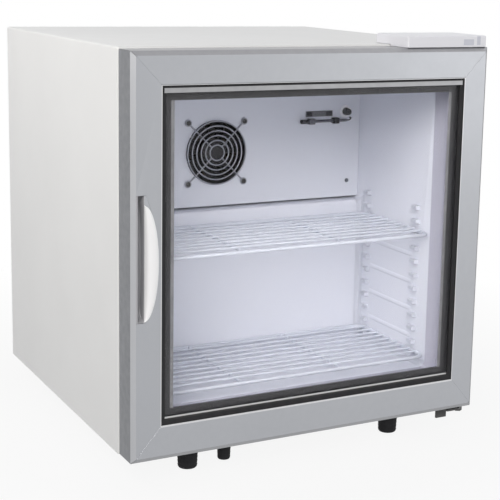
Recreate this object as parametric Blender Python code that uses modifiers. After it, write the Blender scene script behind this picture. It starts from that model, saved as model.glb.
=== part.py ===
"""Counter-top refrigerated display cabinet with a framed glass door.

Units are metres, +Z up. The door faces -Y, and the origin is the centre of the footprint, at the feet.
"""
import math

import bmesh
import bpy
from mathutils import Matrix, Vector

# Cabinet body
CABINET_W = 0.480
BODY_H = 0.478
BODY_D = 0.436
FOOT_H = 0.036
SHEET = 0.001
SIDE_WALL = 0.038
TOP_WALL = 0.040
FLOOR_WALL = 0.045
REAR_WALL = 0.036
SHELL_LIP = 0.014
BASE_LIP = 0.020
FOLD_R = 0.003

# Clearances
GAP = 0.0003
RUN_GAP = 0.0001
DOOR_CLEAR = 0.002

# Moulded liner
LINER_T = 0.002
THROAT_D = 0.017
THROAT_W = 0.0105
STORE_D = 0.191
HUMP_H = 0.200
HUMP_WALL = 0.032
LINER_R = 0.008
PEG_PITCH = 0.0185
PEG_COUNT = 12
PEG_H = 0.0065
PEG_L = 0.012
PEG_OUT = 0.007
PEG_FIRST = 0.012
PEG_FRONT = 0.041
PEG_REAR = 0.164

# Door
DOOR_T = 0.040
DOOR_GAP = 0.004
FRAME_W = 0.036
TOP_RAIL_W = 0.038
BOTTOM_RAIL_W = 0.045
FRAME_BEVEL = 0.005
FRAME_WALL = 0.0024
MITRE_TRIM = 0.00022
LIP_T = 0.0025
POCKET_U = 0.029
BEAD_U = 0.0245
PANE_T = 0.004
PANE_EDGE = 0.0305
SPACER_D = 0.012
SPACER_EDGE = 0.0445
GASKET_U = 0.0415
SEAL_INSET = 0.012
SEAL_W = 0.0122
BEAD_REACH = 0.0385
KEY_LEG = 0.050

# Recessed handle
HANDLE_H = 0.146
HANDLE_U = 0.0055
HANDLE_SHOULDER = 0.0170
HANDLE_REACH = 0.0312
HANDLE_BODY = 0.0262
HANDLE_DEPTH = 0.0215
HANDLE_RIM = 0.0012
HANDLE_WALL = 0.0013
GROOVE_W = 0.0080

# Hinges
PIVOT_U = 0.0105
PIVOT_V = 0.018
PIN_R = 0.003
BUSH_R = 0.0055
BUSH_L = 0.016
BUSH_FLANGE_R = 0.0075
BUSH_FLANGE_T = 0.001
BRACKET_T = 0.0025
COVER_W = 0.121
COVER_D = 0.074
COVER_H = 0.0125
COVER_INSET = 0.003
BRACKET_TAB_H = 0.011

# Fan and evaporator cover
COVER_BACK = 0.012
COVER_T = 0.0012
COVER_FLANGE = 0.014
AIR_GAP = 0.008
FAN_SIZE = 0.092
FAN_PITCH = 0.0825
FAN_T = 0.025
SEAT_T = 0.004
FAN_BORE = 0.044
FAN_X = -0.0235
FAN_RISE = 0.394
BLADE_COUNT = 7
BLADE_TIP = 0.0418
BLADE_T = 0.0014
BLADE_D = 0.0125
HUB_R = 0.0185
WIRE_R = 0.0010
GUARD_RINGS = 6
GUARD_OUT = 0.0430
GUARD_IN = 0.0105
GUARD_STAND = 0.0035

# Thermostat
KNOB_INSET = 0.0245
KNOB_DOWN = 0.0675
KNOB_R = 0.0080
KNOB_L = 0.010
SHAFT_R = 0.0028
BULB_R = 0.0021
BULB_L = 0.066
BULB_LEAD = 0.0078
LEAD_R = 0.0010
CASE_HALF = 0.013
CASE_D = 0.022
CLIP_W = 0.009

# Wire shelves
SHELF_D = 0.166
SHELF_FRONT = 0.0145
SHELF_SIDE_GAP = 0.0012
FRAME_WIRE_R = 0.0024
DECK_WIRE_R = 0.0015
DECK_PITCH = 0.0165
SHELF_CORNER = 0.012
UPPER_PEG = 9
LOWER_PEG = 0

# Evaporator
COIL_SIDE = 0.042
COIL_D = 0.078
COIL_H = 0.140
FIN_PITCH = 0.016
FIN_T = 0.0010
TUBE_R = 0.0040
COIL_PASSES = 6
TRAY_T = 0.0012
TRAY_RISE = 0.010
TRAY_RIM = 0.006

# Machine compartment
COMPRESSOR_R = 0.052
COMPRESSOR_H = 0.138
COMPRESSOR_X = -0.105
RELAY_SIZE = 0.040
MOUNT_H = 0.014
MOUNT_R = 0.010
CONDENSER_W = 0.200
CONDENSER_D = 0.060
CONDENSER_H = 0.130
CONDENSER_X = 0.090
PIPE_R = 0.0032
DRAIN_R = 0.0060
CAPILLARY_R = 0.0012
CAPILLARY_STEP = 0.010
DRIER_R = 0.0090
DRIER_H = 0.080
SLOT_H = 0.005
INLET_HALF_W = 0.0130
INLET_HALF_H = 0.0100
INLET_D = 0.024

# Feet
FOOT_R = 0.012
FOOT_TOP_R = 0.0135
FOOT_INSET_X = 0.095
FOOT_INSET_Y = 0.014
SPOUT_R = 0.009
SPOUT_X = -0.098

# Places worked out from the driving dimensions
SIDE_X = CABINET_W / 2
FRONT_Y = -(DOOR_T + DOOR_GAP + BODY_D) / 2
DOOR_BACK_Y = FRONT_Y + DOOR_T
BODY_FRONT_Y = DOOR_BACK_Y + DOOR_GAP
BODY_BACK_Y = BODY_FRONT_Y + BODY_D
BASE_Z = FOOT_H
TOP_Z = FOOT_H + BODY_H
DOOR_BOTTOM = BASE_Z + DOOR_CLEAR
DOOR_TOP = TOP_Z - DOOR_CLEAR
DOOR_MID = (DOOR_BOTTOM + DOOR_TOP) / 2
LINER_X = SIDE_X - SIDE_WALL
FLOOR_Z = BASE_Z + FLOOR_WALL
CEIL_Z = TOP_Z - TOP_WALL
LINER_BACK_Y = BODY_BACK_Y - REAR_WALL
HUMP_Y = BODY_FRONT_Y + STORE_D
HUMP_Z = FLOOR_Z + HUMP_H
MACHINE_Y = HUMP_Y + HUMP_WALL
MACHINE_Z = HUMP_Z - HUMP_WALL
COIL_W = 2 * (LINER_X - COIL_SIDE)
PANEL_Y = HUMP_Y + COVER_BACK
FAN_Z = HUMP_Z + (CEIL_Z - HUMP_Z) * FAN_RISE
FAN_Y = PANEL_Y + COVER_T + GAP
KNOB_X = LINER_X - KNOB_INSET
KNOB_Z = CEIL_Z - KNOB_DOWN
PIVOT_X = SIDE_X - PIVOT_U
PIVOT_Y = FRONT_Y + PIVOT_V
OUTER_PANE_V = LIP_T + 0.0017
SPACER_V = OUTER_PANE_V + PANE_T + GAP
INNER_PANE_V = SPACER_V + SPACER_D + GAP
BEAD_V = INNER_PANE_V + PANE_T + GAP
POCKET_V = BEAD_V + 0.0024
SIDE_SCALE = {"left": 1.0, "right": 1.0, "top": TOP_RAIL_W / FRAME_W, "bottom": BOTTOM_RAIL_W / FRAME_W}


def fresh_scene():
    """Remove the objects of the open scene and return the two collections that are used."""
    for item in list(bpy.data.objects):
        bpy.data.objects.remove(item, do_unlink=True)
    parts = bpy.data.collections.new("refrigerated_cabinet")
    cutters = bpy.data.collections.new("cutters")
    for group in (parts, cutters):
        bpy.context.scene.collection.children.link(group)
    return parts, cutters


PARTS, CUTTERS = fresh_scene()


def finish(name, colour, roughness, metallic=0.0):
    """Return a material with the given colour, roughness and metallic value."""
    material = bpy.data.materials.new(name)
    material.use_nodes = True
    shader = material.node_tree.nodes["Principled BSDF"]
    shader.inputs["Base Color"].default_value = (*colour, 1.0)
    shader.inputs["Roughness"].default_value = roughness
    shader.inputs["Metallic"].default_value = metallic
    material.diffuse_color = (*colour, 1.0)
    return material


WHITE_STEEL = finish("white_painted_steel", (0.86, 0.86, 0.84), 0.35)
ZINC_STEEL = finish("zinc_plated_steel", (0.62, 0.63, 0.64), 0.40, 1.0)
BLACK_STEEL = finish("black_painted_steel", (0.03, 0.03, 0.03), 0.45)
LINER_WHITE = finish("white_liner_plastic", (0.88, 0.89, 0.91), 0.40)
FOAM = finish("insulating_foam", (0.80, 0.70, 0.45), 0.95)
ALUMINIUM = finish("anodised_aluminium", (0.66, 0.67, 0.69), 0.35, 1.0)
GLASS = finish("clear_glass", (0.90, 0.95, 0.94), 0.05)
BLACK_RUBBER = finish("black_rubber", (0.03, 0.03, 0.03), 0.80)
GREY_RUBBER = finish("grey_magnetic_seal", (0.70, 0.70, 0.70), 0.75)
SPACER_METAL = finish("spacer_bar", (0.18, 0.18, 0.19), 0.45, 0.6)
BLACK_PLASTIC = finish("black_plastic", (0.03, 0.03, 0.035), 0.45)
WHITE_PLASTIC = finish("white_gloss_plastic", (0.90, 0.90, 0.90), 0.25)
CHROME_WIRE = finish("plated_wire", (0.75, 0.76, 0.78), 0.20, 1.0)
WHITE_WIRE = finish("white_coated_wire", (0.88, 0.88, 0.90), 0.35)
COPPER = finish("copper_tube", (0.72, 0.40, 0.25), 0.30, 1.0)
BARE_ALUMINIUM = finish("bare_aluminium", (0.75, 0.76, 0.77), 0.35, 1.0)


def add_object(name, mesh, material=None, location=(0.0, 0.0, 0.0)):
    """Link a part with its material, or a hidden cutter where no material is given."""
    item = bpy.data.objects.new(name, mesh)
    item.location = location
    if material is None:
        CUTTERS.objects.link(item)
        item.hide_render = True
        item.display_type = "WIRE"
        return item
    PARTS.objects.link(item)
    mesh.materials.clear()
    mesh.materials.append(material)
    return item


def mesh_from(name, bm):
    """Turn an edited mesh into mesh data with outward faces."""
    bmesh.ops.recalc_face_normals(bm, faces=bm.faces)
    mesh = bpy.data.meshes.new(name)
    bm.to_mesh(mesh)
    bm.free()
    return mesh


def smooth(item, angle=35.0):
    """Shade a round piece smooth, and keep the edges sharper than the angle."""
    item.data.shade_smooth()
    item.data.set_sharp_from_angle(angle=math.radians(angle))
    return item


def box(name, low, high, material=None):
    """Make a box between two corners, with its origin at its centre."""
    low = Vector(low)
    high = Vector(high)
    bm = bmesh.new()
    bmesh.ops.create_cube(bm, size=1.0)
    bmesh.ops.scale(bm, vec=high - low, verts=bm.verts)
    return add_object(name, mesh_from(name, bm), material, (low + high) / 2)


AXIS_TURN = {
    "X": Matrix.Rotation(math.radians(90), 4, "Y"),
    "Y": Matrix.Rotation(math.radians(-90), 4, "X"),
    "-Y": Matrix.Rotation(math.radians(90), 4, "X"),
    "Z": Matrix.Identity(4),
}


def cylinder(name, radius, length, start, axis, material=None, sides=24, end_radius=None):
    """Make a cylinder or cone from a start point along +X, +Y or +Z."""
    bm = bmesh.new()
    top = radius if end_radius is None else end_radius
    bmesh.ops.create_cone(bm, cap_ends=True, segments=sides, radius1=radius, radius2=top, depth=length)
    bmesh.ops.translate(bm, vec=(0.0, 0.0, length / 2), verts=bm.verts)
    bmesh.ops.transform(bm, matrix=AXIS_TURN[axis], verts=bm.verts)
    item = add_object(name, mesh_from(name, bm), material, start)
    return smooth(item) if material else item


def bevel(item, width, segments=2, angle=30.0):
    """Round the edges that are sharper than the angle."""
    modifier = item.modifiers.new("rounded_edges", "BEVEL")
    modifier.width = width
    modifier.segments = segments
    modifier.limit_method = "ANGLE"
    modifier.angle_limit = math.radians(angle)
    return item


def boolean(item, cutter, operation="DIFFERENCE"):
    """Cut a part with another object, or join the other object to it."""
    modifier = item.modifiers.new(operation.lower(), "BOOLEAN")
    modifier.operation = operation
    modifier.object = cutter
    return item


def solidify(item, thickness, offset=-1.0):
    """Give an open surface its thickness, behind its faces at an offset of -1."""
    modifier = item.modifiers.new("wall", "SOLIDIFY")
    modifier.thickness = thickness
    modifier.offset = offset
    modifier.use_even_offset = True
    return item


def baked(item):
    """Return the mesh of an object with its modifiers applied, welded and closed."""
    bpy.context.view_layer.update()
    view = item.evaluated_get(bpy.context.evaluated_depsgraph_get())
    mesh = bpy.data.meshes.new_from_object(view)
    bm = bmesh.new()
    bm.from_mesh(mesh)
    bmesh.ops.remove_doubles(bm, verts=bm.verts, dist=0.00002)
    bm.to_mesh(mesh)
    bm.free()
    return mesh


def as_mesh(item, material=None):
    """Replace a curve by its welded mesh, as a part or as a cutter."""
    name = item.name
    place = item.matrix_world.copy()
    mesh = baked(item)
    bpy.data.objects.remove(item, do_unlink=True)
    made = add_object(name, mesh, material)
    made.matrix_world = place
    return made


def wire_curve(name, points, radius, closed=False, sides=2):
    """Make a round wire or tube along straight runs between points."""
    curve = bpy.data.curves.new(name, "CURVE")
    curve.dimensions = "3D"
    spline = curve.splines.new("POLY")
    spline.points.add(len(points) - 1)
    for slot, point in zip(spline.points, points):
        slot.co = (*point, 1.0)
    spline.use_cyclic_u = closed
    curve.bevel_depth = radius
    curve.bevel_resolution = sides
    curve.use_fill_caps = not closed
    item = bpy.data.objects.new(name, curve)
    PARTS.objects.link(item)
    bpy.context.view_layer.update()
    return item


def wire(name, points, radius, material=None, closed=False, sides=1):
    """Make a wire or tube as a welded mesh, so that it can be cut or joined."""
    made = as_mesh(wire_curve(name, points, radius, closed, sides), material)
    return smooth(made, 50.0) if material else made


def plate(name, outline, thickness, start, axis, material=None, holes=()):
    """Make a flat plate from an outline, extruded from a start height along an axis.

    The outline is in XY for axis Z, in XZ for axis Y and in YZ for axis X.
    """
    curve = bpy.data.curves.new(name, "CURVE")
    curve.dimensions = "2D"
    curve.fill_mode = "BOTH"
    curve.extrude = thickness / 2
    for path in (outline, *holes):
        spline = curve.splines.new("POLY")
        spline.points.add(len(path) - 1)
        for slot, point in zip(spline.points, path):
            slot.co = (point[0], point[1], 0.0, 1.0)
        spline.use_cyclic_u = True
    item = bpy.data.objects.new(name, curve)
    PARTS.objects.link(item)
    middle = start + thickness / 2
    turn = {
        "Z": Matrix.Translation((0.0, 0.0, middle)),
        "Y": Matrix.Translation((0.0, middle, 0.0)) @ Matrix.Rotation(math.radians(90), 4, "X"),
        "X": Matrix.Translation((middle, 0.0, 0.0)) @ Matrix(((0, 0, 1, 0), (1, 0, 0, 0), (0, 1, 0, 0), (0, 0, 0, 1))),
    }
    item.matrix_world = turn[axis]
    return as_mesh(item, material)


def arc(centre, radius, first, last, steps):
    """Return points along an arc, with its angles in degrees."""
    points = []
    for step in range(steps + 1):
        turn = math.radians(first + (last - first) * step / steps)
        points.append((centre[0] + radius * math.cos(turn), centre[1] + radius * math.sin(turn)))
    return points


def rounded_rectangle(half_w, half_h, radius, steps=3, centre=(0.0, 0.0)):
    """Return the outline of a rectangle with round corners."""
    points = []
    corners = ((1, 1, 0), (-1, 1, 90), (-1, -1, 180), (1, -1, 270))
    for sign_x, sign_y, first in corners:
        middle = (centre[0] + sign_x * (half_w - radius), centre[1] + sign_y * (half_h - radius))
        points += arc(middle, radius, first, first + 90, steps)
    return points


def turned(name, profile, location, material=None, axis="Z", steps=24):
    """Make a turned piece from a profile of radius and height, top to bottom."""
    bm = bmesh.new()
    spots = [bm.verts.new((radius, 0.0, height)) for radius, height in profile]
    for first, second in zip(spots, spots[1:]):
        bm.edges.new((first, second))
    mesh = bpy.data.meshes.new(name)
    bm.to_mesh(mesh)
    bm.free()
    item = add_object(name, mesh, material, location)
    item.rotation_euler = AXIS_TURN[axis].to_euler()
    screw = item.modifiers.new("turned", "SCREW")
    screw.steps = steps
    screw.render_steps = steps
    screw.use_merge_vertices = True
    screw.merge_threshold = 0.00005
    screw.use_smooth_shade = True
    return item


def joined(name, items, material=None, location=None):
    """Join closed shapes that touch into one body with a chain of unions."""
    first = items[0]
    for other in items[1:]:
        boolean(first, other, "UNION")
    mesh = baked(first)
    place = first.matrix_world.copy()
    for item in items:
        bpy.data.objects.remove(item, do_unlink=True)
    made = add_object(name, mesh, material)
    made.matrix_world = place
    return made


def carry(name, pivot, items):
    """Parent moving pieces to an empty that stands on their joint's axis."""
    empty = bpy.data.objects.new(name, None)
    empty.location = pivot
    empty.empty_display_size = 0.03
    PARTS.objects.link(empty)
    for item in items:
        item.parent = empty
        item.matrix_parent_inverse = Matrix.Translation(pivot).inverted()
    return empty


def side_surface(name, rows, material=None):
    """Make an open surface through rows of points that have equal counts."""
    bm = bmesh.new()
    grid = [[bm.verts.new(point) for point in row] for row in rows]
    for low, high in zip(grid, grid[1:]):
        for index in range(len(low) - 1):
            bm.faces.new((low[index], low[index + 1], high[index + 1], high[index]))
    bmesh.ops.recalc_face_normals(bm, faces=bm.faces)
    mesh = bpy.data.meshes.new(name)
    bm.to_mesh(mesh)
    bm.free()
    return add_object(name, mesh, material)


# Outer cabinet

def make_outer_shell():
    """Fold the top and sides from one sheet, with a lip round the front."""
    low = BASE_Z
    fold = [(-SIDE_X, low), (-SIDE_X, TOP_Z), (SIDE_X, TOP_Z), (SIDE_X, low)]
    inner = SIDE_X - SHELL_LIP
    lip = [(-inner, low), (-inner, TOP_Z - SHELL_LIP), (inner, TOP_Z - SHELL_LIP), (inner, low)]
    rows = [
        [(x, BODY_BACK_Y, z) for x, z in fold],
        [(x, BODY_FRONT_Y, z) for x, z in fold],
        [(x, BODY_FRONT_Y, z) for x, z in lip],
    ]
    shell = side_surface("outer_shell", rows, WHITE_STEEL)
    if shell.data.polygons[0].normal.x > 0:
        shell.data.flip_normals()
    bevel(shell, FOLD_R, 3, 60.0)
    solidify(shell, SHEET)
    return shell


def make_base_plate():
    """Make the floor pan that closes the bottom, with vent slots below the compressor."""
    half = SIDE_X - SHEET - GAP
    front = BODY_FRONT_Y + FOLD_R
    back = BODY_BACK_Y - SHEET - GAP
    pan = box("base_plate", (-half, front, BASE_Z), (half, back, BASE_Z + BASE_LIP), WHITE_STEEL)
    bm = bmesh.new()
    bm.from_mesh(pan.data)
    open_faces = [face for face in bm.faces if face.normal.z > 0.5 or face.normal.y > 0.5]
    bmesh.ops.delete(bm, geom=open_faces, context="FACES")
    bm.to_mesh(pan.data)
    bm.free()
    solidify(pan, SHEET)
    slot_y = (MACHINE_Y + back) / 2
    for index in range(8):
        x = COMPRESSOR_X + (index - 3.5) * SLOT_H * 3
        slot = box(f"base_slot_{index}", (x, slot_y - COMPRESSOR_R * 0.86, BASE_Z - SHEET),
                   (x + SLOT_H, slot_y + COMPRESSOR_R * 0.86, BASE_Z + 2 * SHEET))
        boolean(pan, slot)
    return pan


def make_rear_panels():
    """Make the flat rear sheet and the louvred cover of the machine compartment."""
    half = SIDE_X - SHEET - GAP
    y = BODY_BACK_Y - SHEET
    split = MACHINE_Z + SHEET
    bottom = split + GAP
    top = TOP_Z - SHEET - GAP
    outline = rounded_rectangle(half, (top - bottom) / 2, FOLD_R - SHEET, 3, (0.0, (top + bottom) / 2))
    upper = plate("rear_panel", outline, SHEET, y, "Y", WHITE_STEEL)
    low = box("machine_cover", (-half, y, BASE_Z), (half, BODY_BACK_Y, split), WHITE_STEEL)
    rows = int((split - BASE_Z) / (SLOT_H * 3)) - 4
    for side in (-1, 1):
        for index in range(rows):
            z = BASE_Z + (index + 2) * SLOT_H * 3
            centre = side * half * 0.48
            outline = rounded_rectangle(half * 0.36, SLOT_H / 2, SLOT_H * 0.48, 1, (centre, z))
            slot = plate(f"vent_{side + 1}_{index}", outline, 4 * SHEET, y - SHEET, "Y")
            boolean(low, slot)
    inlet_x, inlet_z = inlet_place()
    reach_w = INLET_HALF_W + GAP
    reach_h = INLET_HALF_H + GAP
    boolean(low, box("inlet_opening", (inlet_x - reach_w, y - SHEET, inlet_z - reach_h),
                     (inlet_x + reach_w, BODY_BACK_Y + SHEET, inlet_z + reach_h)))
    return upper, low


def liner_rows(grow):
    """Return the side profile of the liner's cavity, grown outwards by a wall."""
    return [
        (BODY_FRONT_Y, FLOOR_Z - grow),
        (HUMP_Y + grow, FLOOR_Z - grow),
        (HUMP_Y + grow, HUMP_Z - grow),
        (LINER_BACK_Y + grow, HUMP_Z - grow),
        (LINER_BACK_Y + grow, CEIL_Z + grow),
        (BODY_FRONT_Y, CEIL_Z + grow),
    ]


def make_liner():
    """Mould the liner: a tub with a step over the compressor, a flared throat and shelf rails."""
    throat_y = BODY_FRONT_Y + THROAT_D
    profile = liner_rows(0.0)
    profile[0] = (throat_y, FLOOR_Z)
    profile[-1] = (throat_y, CEIL_Z)
    bm = bmesh.new()
    left = [bm.verts.new((-LINER_X, y, z)) for y, z in profile]
    right = [bm.verts.new((LINER_X, y, z)) for y, z in profile]
    for index in range(len(profile) - 1):
        bm.faces.new((left[index], left[index + 1], right[index + 1], right[index]))
    bm.faces.new(left)
    bm.faces.new(right)
    ring = [left[0], right[0], right[-1], left[-1]]
    flange_x = SIDE_X - SHELL_LIP - GAP
    steps = (
        (BODY_FRONT_Y, LINER_X + THROAT_W, FLOOR_Z - THROAT_W, CEIL_Z + THROAT_W),
        (BODY_FRONT_Y, flange_x, BASE_Z + BASE_LIP + GAP, TOP_Z - SHELL_LIP - GAP),
    )
    for y, half, low, high in steps:
        corners = ((-half, low), (half, low), (half, high), (-half, high))
        outer = [bm.verts.new((x, y, z)) for x, z in corners]
        for index in range(4):
            follow = (index + 1) % 4
            bm.faces.new((ring[index], ring[follow], outer[follow], outer[index]))
        ring = outer
    bmesh.ops.recalc_face_normals(bm, faces=bm.faces)
    bm.edges.ensure_lookup_table()
    weight = bm.edges.layers.float.new("bevel_weight_edge")
    for edge in bm.edges:
        deep = all(vert.co.y > throat_y - GAP for vert in edge.verts)
        if deep and len(edge.link_faces) == 2 and edge.calc_face_angle(0.0) > math.radians(60):
            edge[weight] = 1.0
    mesh = bpy.data.meshes.new("inner_liner")
    bm.to_mesh(mesh)
    bm.free()
    liner = add_object("inner_liner", mesh, LINER_WHITE)
    inward = [face for face in liner.data.polygons if abs(face.normal.x) > 0.9 and face.center.x > 0]
    if inward[0].normal.x > 0:
        liner.data.flip_normals()
    rounding = liner.modifiers.new("moulded_corners", "BEVEL")
    rounding.limit_method = "WEIGHT"
    rounding.width = LINER_R
    rounding.segments = 2
    solidify(liner, LINER_T)
    boolean(liner, shelf_pegs(), "UNION")
    for cutter in liner_holes():
        boolean(liner, cutter)
    return liner


def peg_top(index):
    """Return the height of the top of a row of shelf pegs."""
    return FLOOR_Z + PEG_FIRST + index * PEG_PITCH


def shelf_pegs():
    """Make the two ladders of moulded pegs on each side wall, to be joined to the liner."""
    bm = bmesh.new()
    low_x = LINER_X - PEG_OUT
    high_x = LINER_X + LINER_T / 2
    for side in (-1, 1):
        for start in (PEG_FRONT, PEG_REAR):
            for index in range(PEG_COUNT):
                made = bmesh.ops.create_cube(bm, size=1.0)["verts"]
                bmesh.ops.scale(bm, vec=(high_x - low_x, PEG_L, PEG_H), verts=made)
                centre_y = BODY_FRONT_Y + start + PEG_L / 2
                centre = (side * (low_x + high_x) / 2, centre_y, peg_top(index) - PEG_H / 2)
                bmesh.ops.translate(bm, vec=centre, verts=made)
                taper = [v for v in made if side * v.co.x < LINER_X and v.co.z < peg_top(index) - PEG_H / 2]
                bmesh.ops.translate(bm, vec=(0.0, 0.0, PEG_H / 4), verts=taper)
    return add_object("shelf_pegs", mesh_from("shelf_pegs", bm))


def liner_holes():
    """Return cutters for the drain and pipe holes through the step of the liner."""
    length = HUMP_WALL + 3 * LINER_T
    low = MACHINE_Z - LINER_T
    places = (("drain_hole", DRAIN_R, drain_x(), drain_y()),
              ("suction_hole", PIPE_R, suction_x(), suction_y()),
              ("capillary_hole", CAPILLARY_R, suction_x(), suction_y() + CAPILLARY_STEP))
    return [cylinder(name, radius + GAP, length, (x, y, low), "Z", sides=16) for name, radius, x, y in places]


def drain_x():
    """Return the drain's place from left to right."""
    return 0.0


def drain_y():
    """Return the drain's place from front to back."""
    return (PANEL_Y + LINER_BACK_Y) / 2


def suction_x():
    """Return the place of the suction pipe, beside the evaporator."""
    return -(COIL_W / 2 + LINER_X) / 2


def suction_y():
    """Return the suction pipe's place from front to back."""
    return (MACHINE_Y + LINER_BACK_Y) / 2


def make_foam():
    """Fill the space between the shell and the liner with foam."""
    half = SIDE_X - 2 * SHEET - 2 * GAP
    front = BODY_FRONT_Y + FOLD_R + SHEET + GAP
    back = BODY_BACK_Y - SHEET - GAP
    low = (-half, front, BASE_Z + SHEET + GAP)
    foam = box("foam_insulation", low, (half, back, TOP_Z - SHEET - GAP), FOAM)
    grow = LINER_T + GAP
    rows = liner_rows(grow)
    rows[0] = (front - SHEET, rows[0][1])
    rows[-1] = (front - SHEET, rows[-1][1])
    rows[2:3] = [(HUMP_Y + grow, HUMP_Z - grow - LINER_R), (HUMP_Y + grow + LINER_R, HUMP_Z - grow)]
    cavity = plate("foam_cavity", rows, 2 * (LINER_X + grow), -(LINER_X + grow), "X")
    throat = throat_cutter(grow)
    machine = box("machine_space", (-SIDE_X, MACHINE_Y, 0.0), (SIDE_X, BODY_BACK_Y + SHEET, MACHINE_Z))
    for cutter in (cavity, throat, machine, *liner_holes()):
        boolean(foam, cutter)
    return foam


def throat_cutter(grow):
    """Make the flared mouth of the cavity as a closed cutter."""
    back = BODY_FRONT_Y + THROAT_D + grow
    front = BODY_FRONT_Y - grow
    half_back = LINER_X + grow * 0.9
    spread = THROAT_W + grow + (THROAT_W / THROAT_D) * grow
    bm = bmesh.new()
    rings = []
    for y, extra in ((front, spread), (back, 0.0)):
        half = half_back + extra
        low = FLOOR_Z - grow * 0.9 - extra
        high = CEIL_Z + grow * 0.9 + extra
        rings.append([bm.verts.new(spot) for spot in
                      ((-half, y, low), (half, y, low), (half, y, high), (-half, y, high))])
    bm.faces.new(rings[0])
    bm.faces.new(rings[1])
    for index in range(4):
        follow = (index + 1) % 4
        bm.faces.new((rings[0][index], rings[0][follow], rings[1][follow], rings[1][index]))
    return add_object("throat_space", mesh_from("throat_space", bm))


def make_machine_shield():
    """Make the bent sheet that lines the machine compartment."""
    half = SIDE_X - 2 * SHEET - 2 * GAP
    near = MACHINE_Y + GAP
    roof = MACHINE_Z - GAP
    low = BASE_Z + SHEET + GAP
    back = BODY_BACK_Y - SHEET - 2 * GAP
    outline = [(near, low), (near + SHEET, low), (near + SHEET, roof - SHEET), (back, roof - SHEET),
               (back, roof), (near, roof)]
    shield = plate("machine_shield", outline, 2 * half, -half, "X", ZINC_STEEL)
    for cutter in liner_holes():
        boolean(shield, cutter)
    return shield


# Feet

def make_feet():
    """Make four tapered feet and the rubber drain plug below the base."""
    foot_x = SIDE_X - FOOT_INSET_X
    chamfer = FOOT_R / 8
    front = BODY_FRONT_Y + FOOT_INSET_Y
    back = BODY_BACK_Y - FOOT_INSET_Y - FOOT_R
    height = FOOT_H - GAP
    profile = [(0.0, height), (FOOT_TOP_R, height), (FOOT_TOP_R, height * 0.72), (FOOT_R, height * 0.62),
               (FOOT_R, chamfer), (FOOT_R - chamfer, 0.0), (0.0, 0.0)]
    for name, x, y in (("front_left_foot", -foot_x, front), ("front_right_foot", foot_x, front),
                       ("rear_left_foot", -foot_x, back), ("rear_right_foot", foot_x, back)):
        turned(name, profile, (x, y, 0.0), BLACK_RUBBER, steps=20)
    bottom = FOOT_H * 0.12
    plug = [(0.0, height - bottom), (SPOUT_R, height - bottom), (SPOUT_R, 2 * chamfer),
            (SPOUT_R - chamfer, 0.0), (0.0, 0.0)]
    turned("drain_plug", plug, (SPOUT_X, front - FOOT_INSET_Y / 3, bottom), BLACK_RUBBER, steps=16)


# Door

def door_point(u, v, side, along):
    """Place a point of the door's section on one side of the frame.

    u is the distance in from the outer edge on a stile, v the depth behind the front. A rail is wider
    by its scale.
    """
    y = FRONT_Y + v
    across = u * SIDE_SCALE[side]
    if side == "left":
        return (-SIDE_X + across, y, along)
    if side == "right":
        return (SIDE_X - across, y, along)
    if side == "top":
        return (along, y, DOOR_TOP - across)
    return (along, y, DOOR_BOTTOM + across)


def mitred_bar(name, section, side, material=None, trim=MITRE_TRIM):
    """Run a section along one side of the door, mitred at both ends to meet the bars beside it."""
    upright = side in ("left", "right")
    low, high = (DOOR_BOTTOM, DOOR_TOP) if upright else (-SIDE_X, SIDE_X)
    first, last = ("bottom", "top") if upright else ("left", "right")
    bm = bmesh.new()
    start = [bm.verts.new(door_point(u, v, side, low + u * SIDE_SCALE[first] + trim)) for u, v in section]
    end = [bm.verts.new(door_point(u, v, side, high - u * SIDE_SCALE[last] - trim)) for u, v in section]
    bm.faces.new(start)
    bm.faces.new(end)
    for index in range(len(section)):
        follow = (index + 1) % len(section)
        bm.faces.new((start[index], start[follow], end[follow], end[index]))
    return add_object(name, mesh_from(name, bm), material)


def mitred_ring(name, section, material=None, scale=SIDE_SCALE):
    """Run a section all the way round the door as one closed ring."""
    bm = bmesh.new()
    rings = []
    for sign_x, edge, sign_z, side in ((-1, DOOR_BOTTOM, 1, "bottom"), (1, DOOR_BOTTOM, 1, "bottom"),
                                       (1, DOOR_TOP, -1, "top"), (-1, DOOR_TOP, -1, "top")):
        corner = []
        for u, v in section:
            corner.append(bm.verts.new((sign_x * (SIDE_X - u), FRONT_Y + v, edge + sign_z * u * scale[side])))
        rings.append(corner)
    for index in range(4):
        first = rings[index]
        second = rings[(index + 1) % 4]
        for spot in range(len(section)):
            follow = (spot + 1) % len(section)
            bm.faces.new((first[spot], first[follow], second[follow], second[spot]))
    return add_object(name, mesh_from(name, bm), material)


def frame_section():
    """Return the outer outline of the aluminium profile."""
    soft = LIP_T * 0.3
    return [(FRAME_BEVEL, 0.0), (FRAME_W - soft, 0.0), (FRAME_W, soft), (FRAME_W, LIP_T), (POCKET_U, LIP_T),
            (POCKET_U, POCKET_V), (BEAD_U, POCKET_V), (BEAD_U, DOOR_T), (0.0, DOOR_T), (0.0, FRAME_BEVEL)]


def chamber_section():
    """Return the outline of the hollow inside the aluminium profile."""
    wall = FRAME_WALL
    bevel_in = FRAME_BEVEL * 0.6
    return [(wall + bevel_in, wall), (POCKET_U - wall, wall), (POCKET_U - wall, POCKET_V - wall),
            (BEAD_U - wall, POCKET_V - wall), (BEAD_U - wall, DOOR_T - wall), (wall, DOOR_T - wall),
            (wall, wall + bevel_in)]


def pin_cutter(name, radius, z, length):
    """Make a cutter on the hinge axis."""
    return cylinder(name, radius, length, (PIVOT_X, PIVOT_Y, z), "Z")


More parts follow.
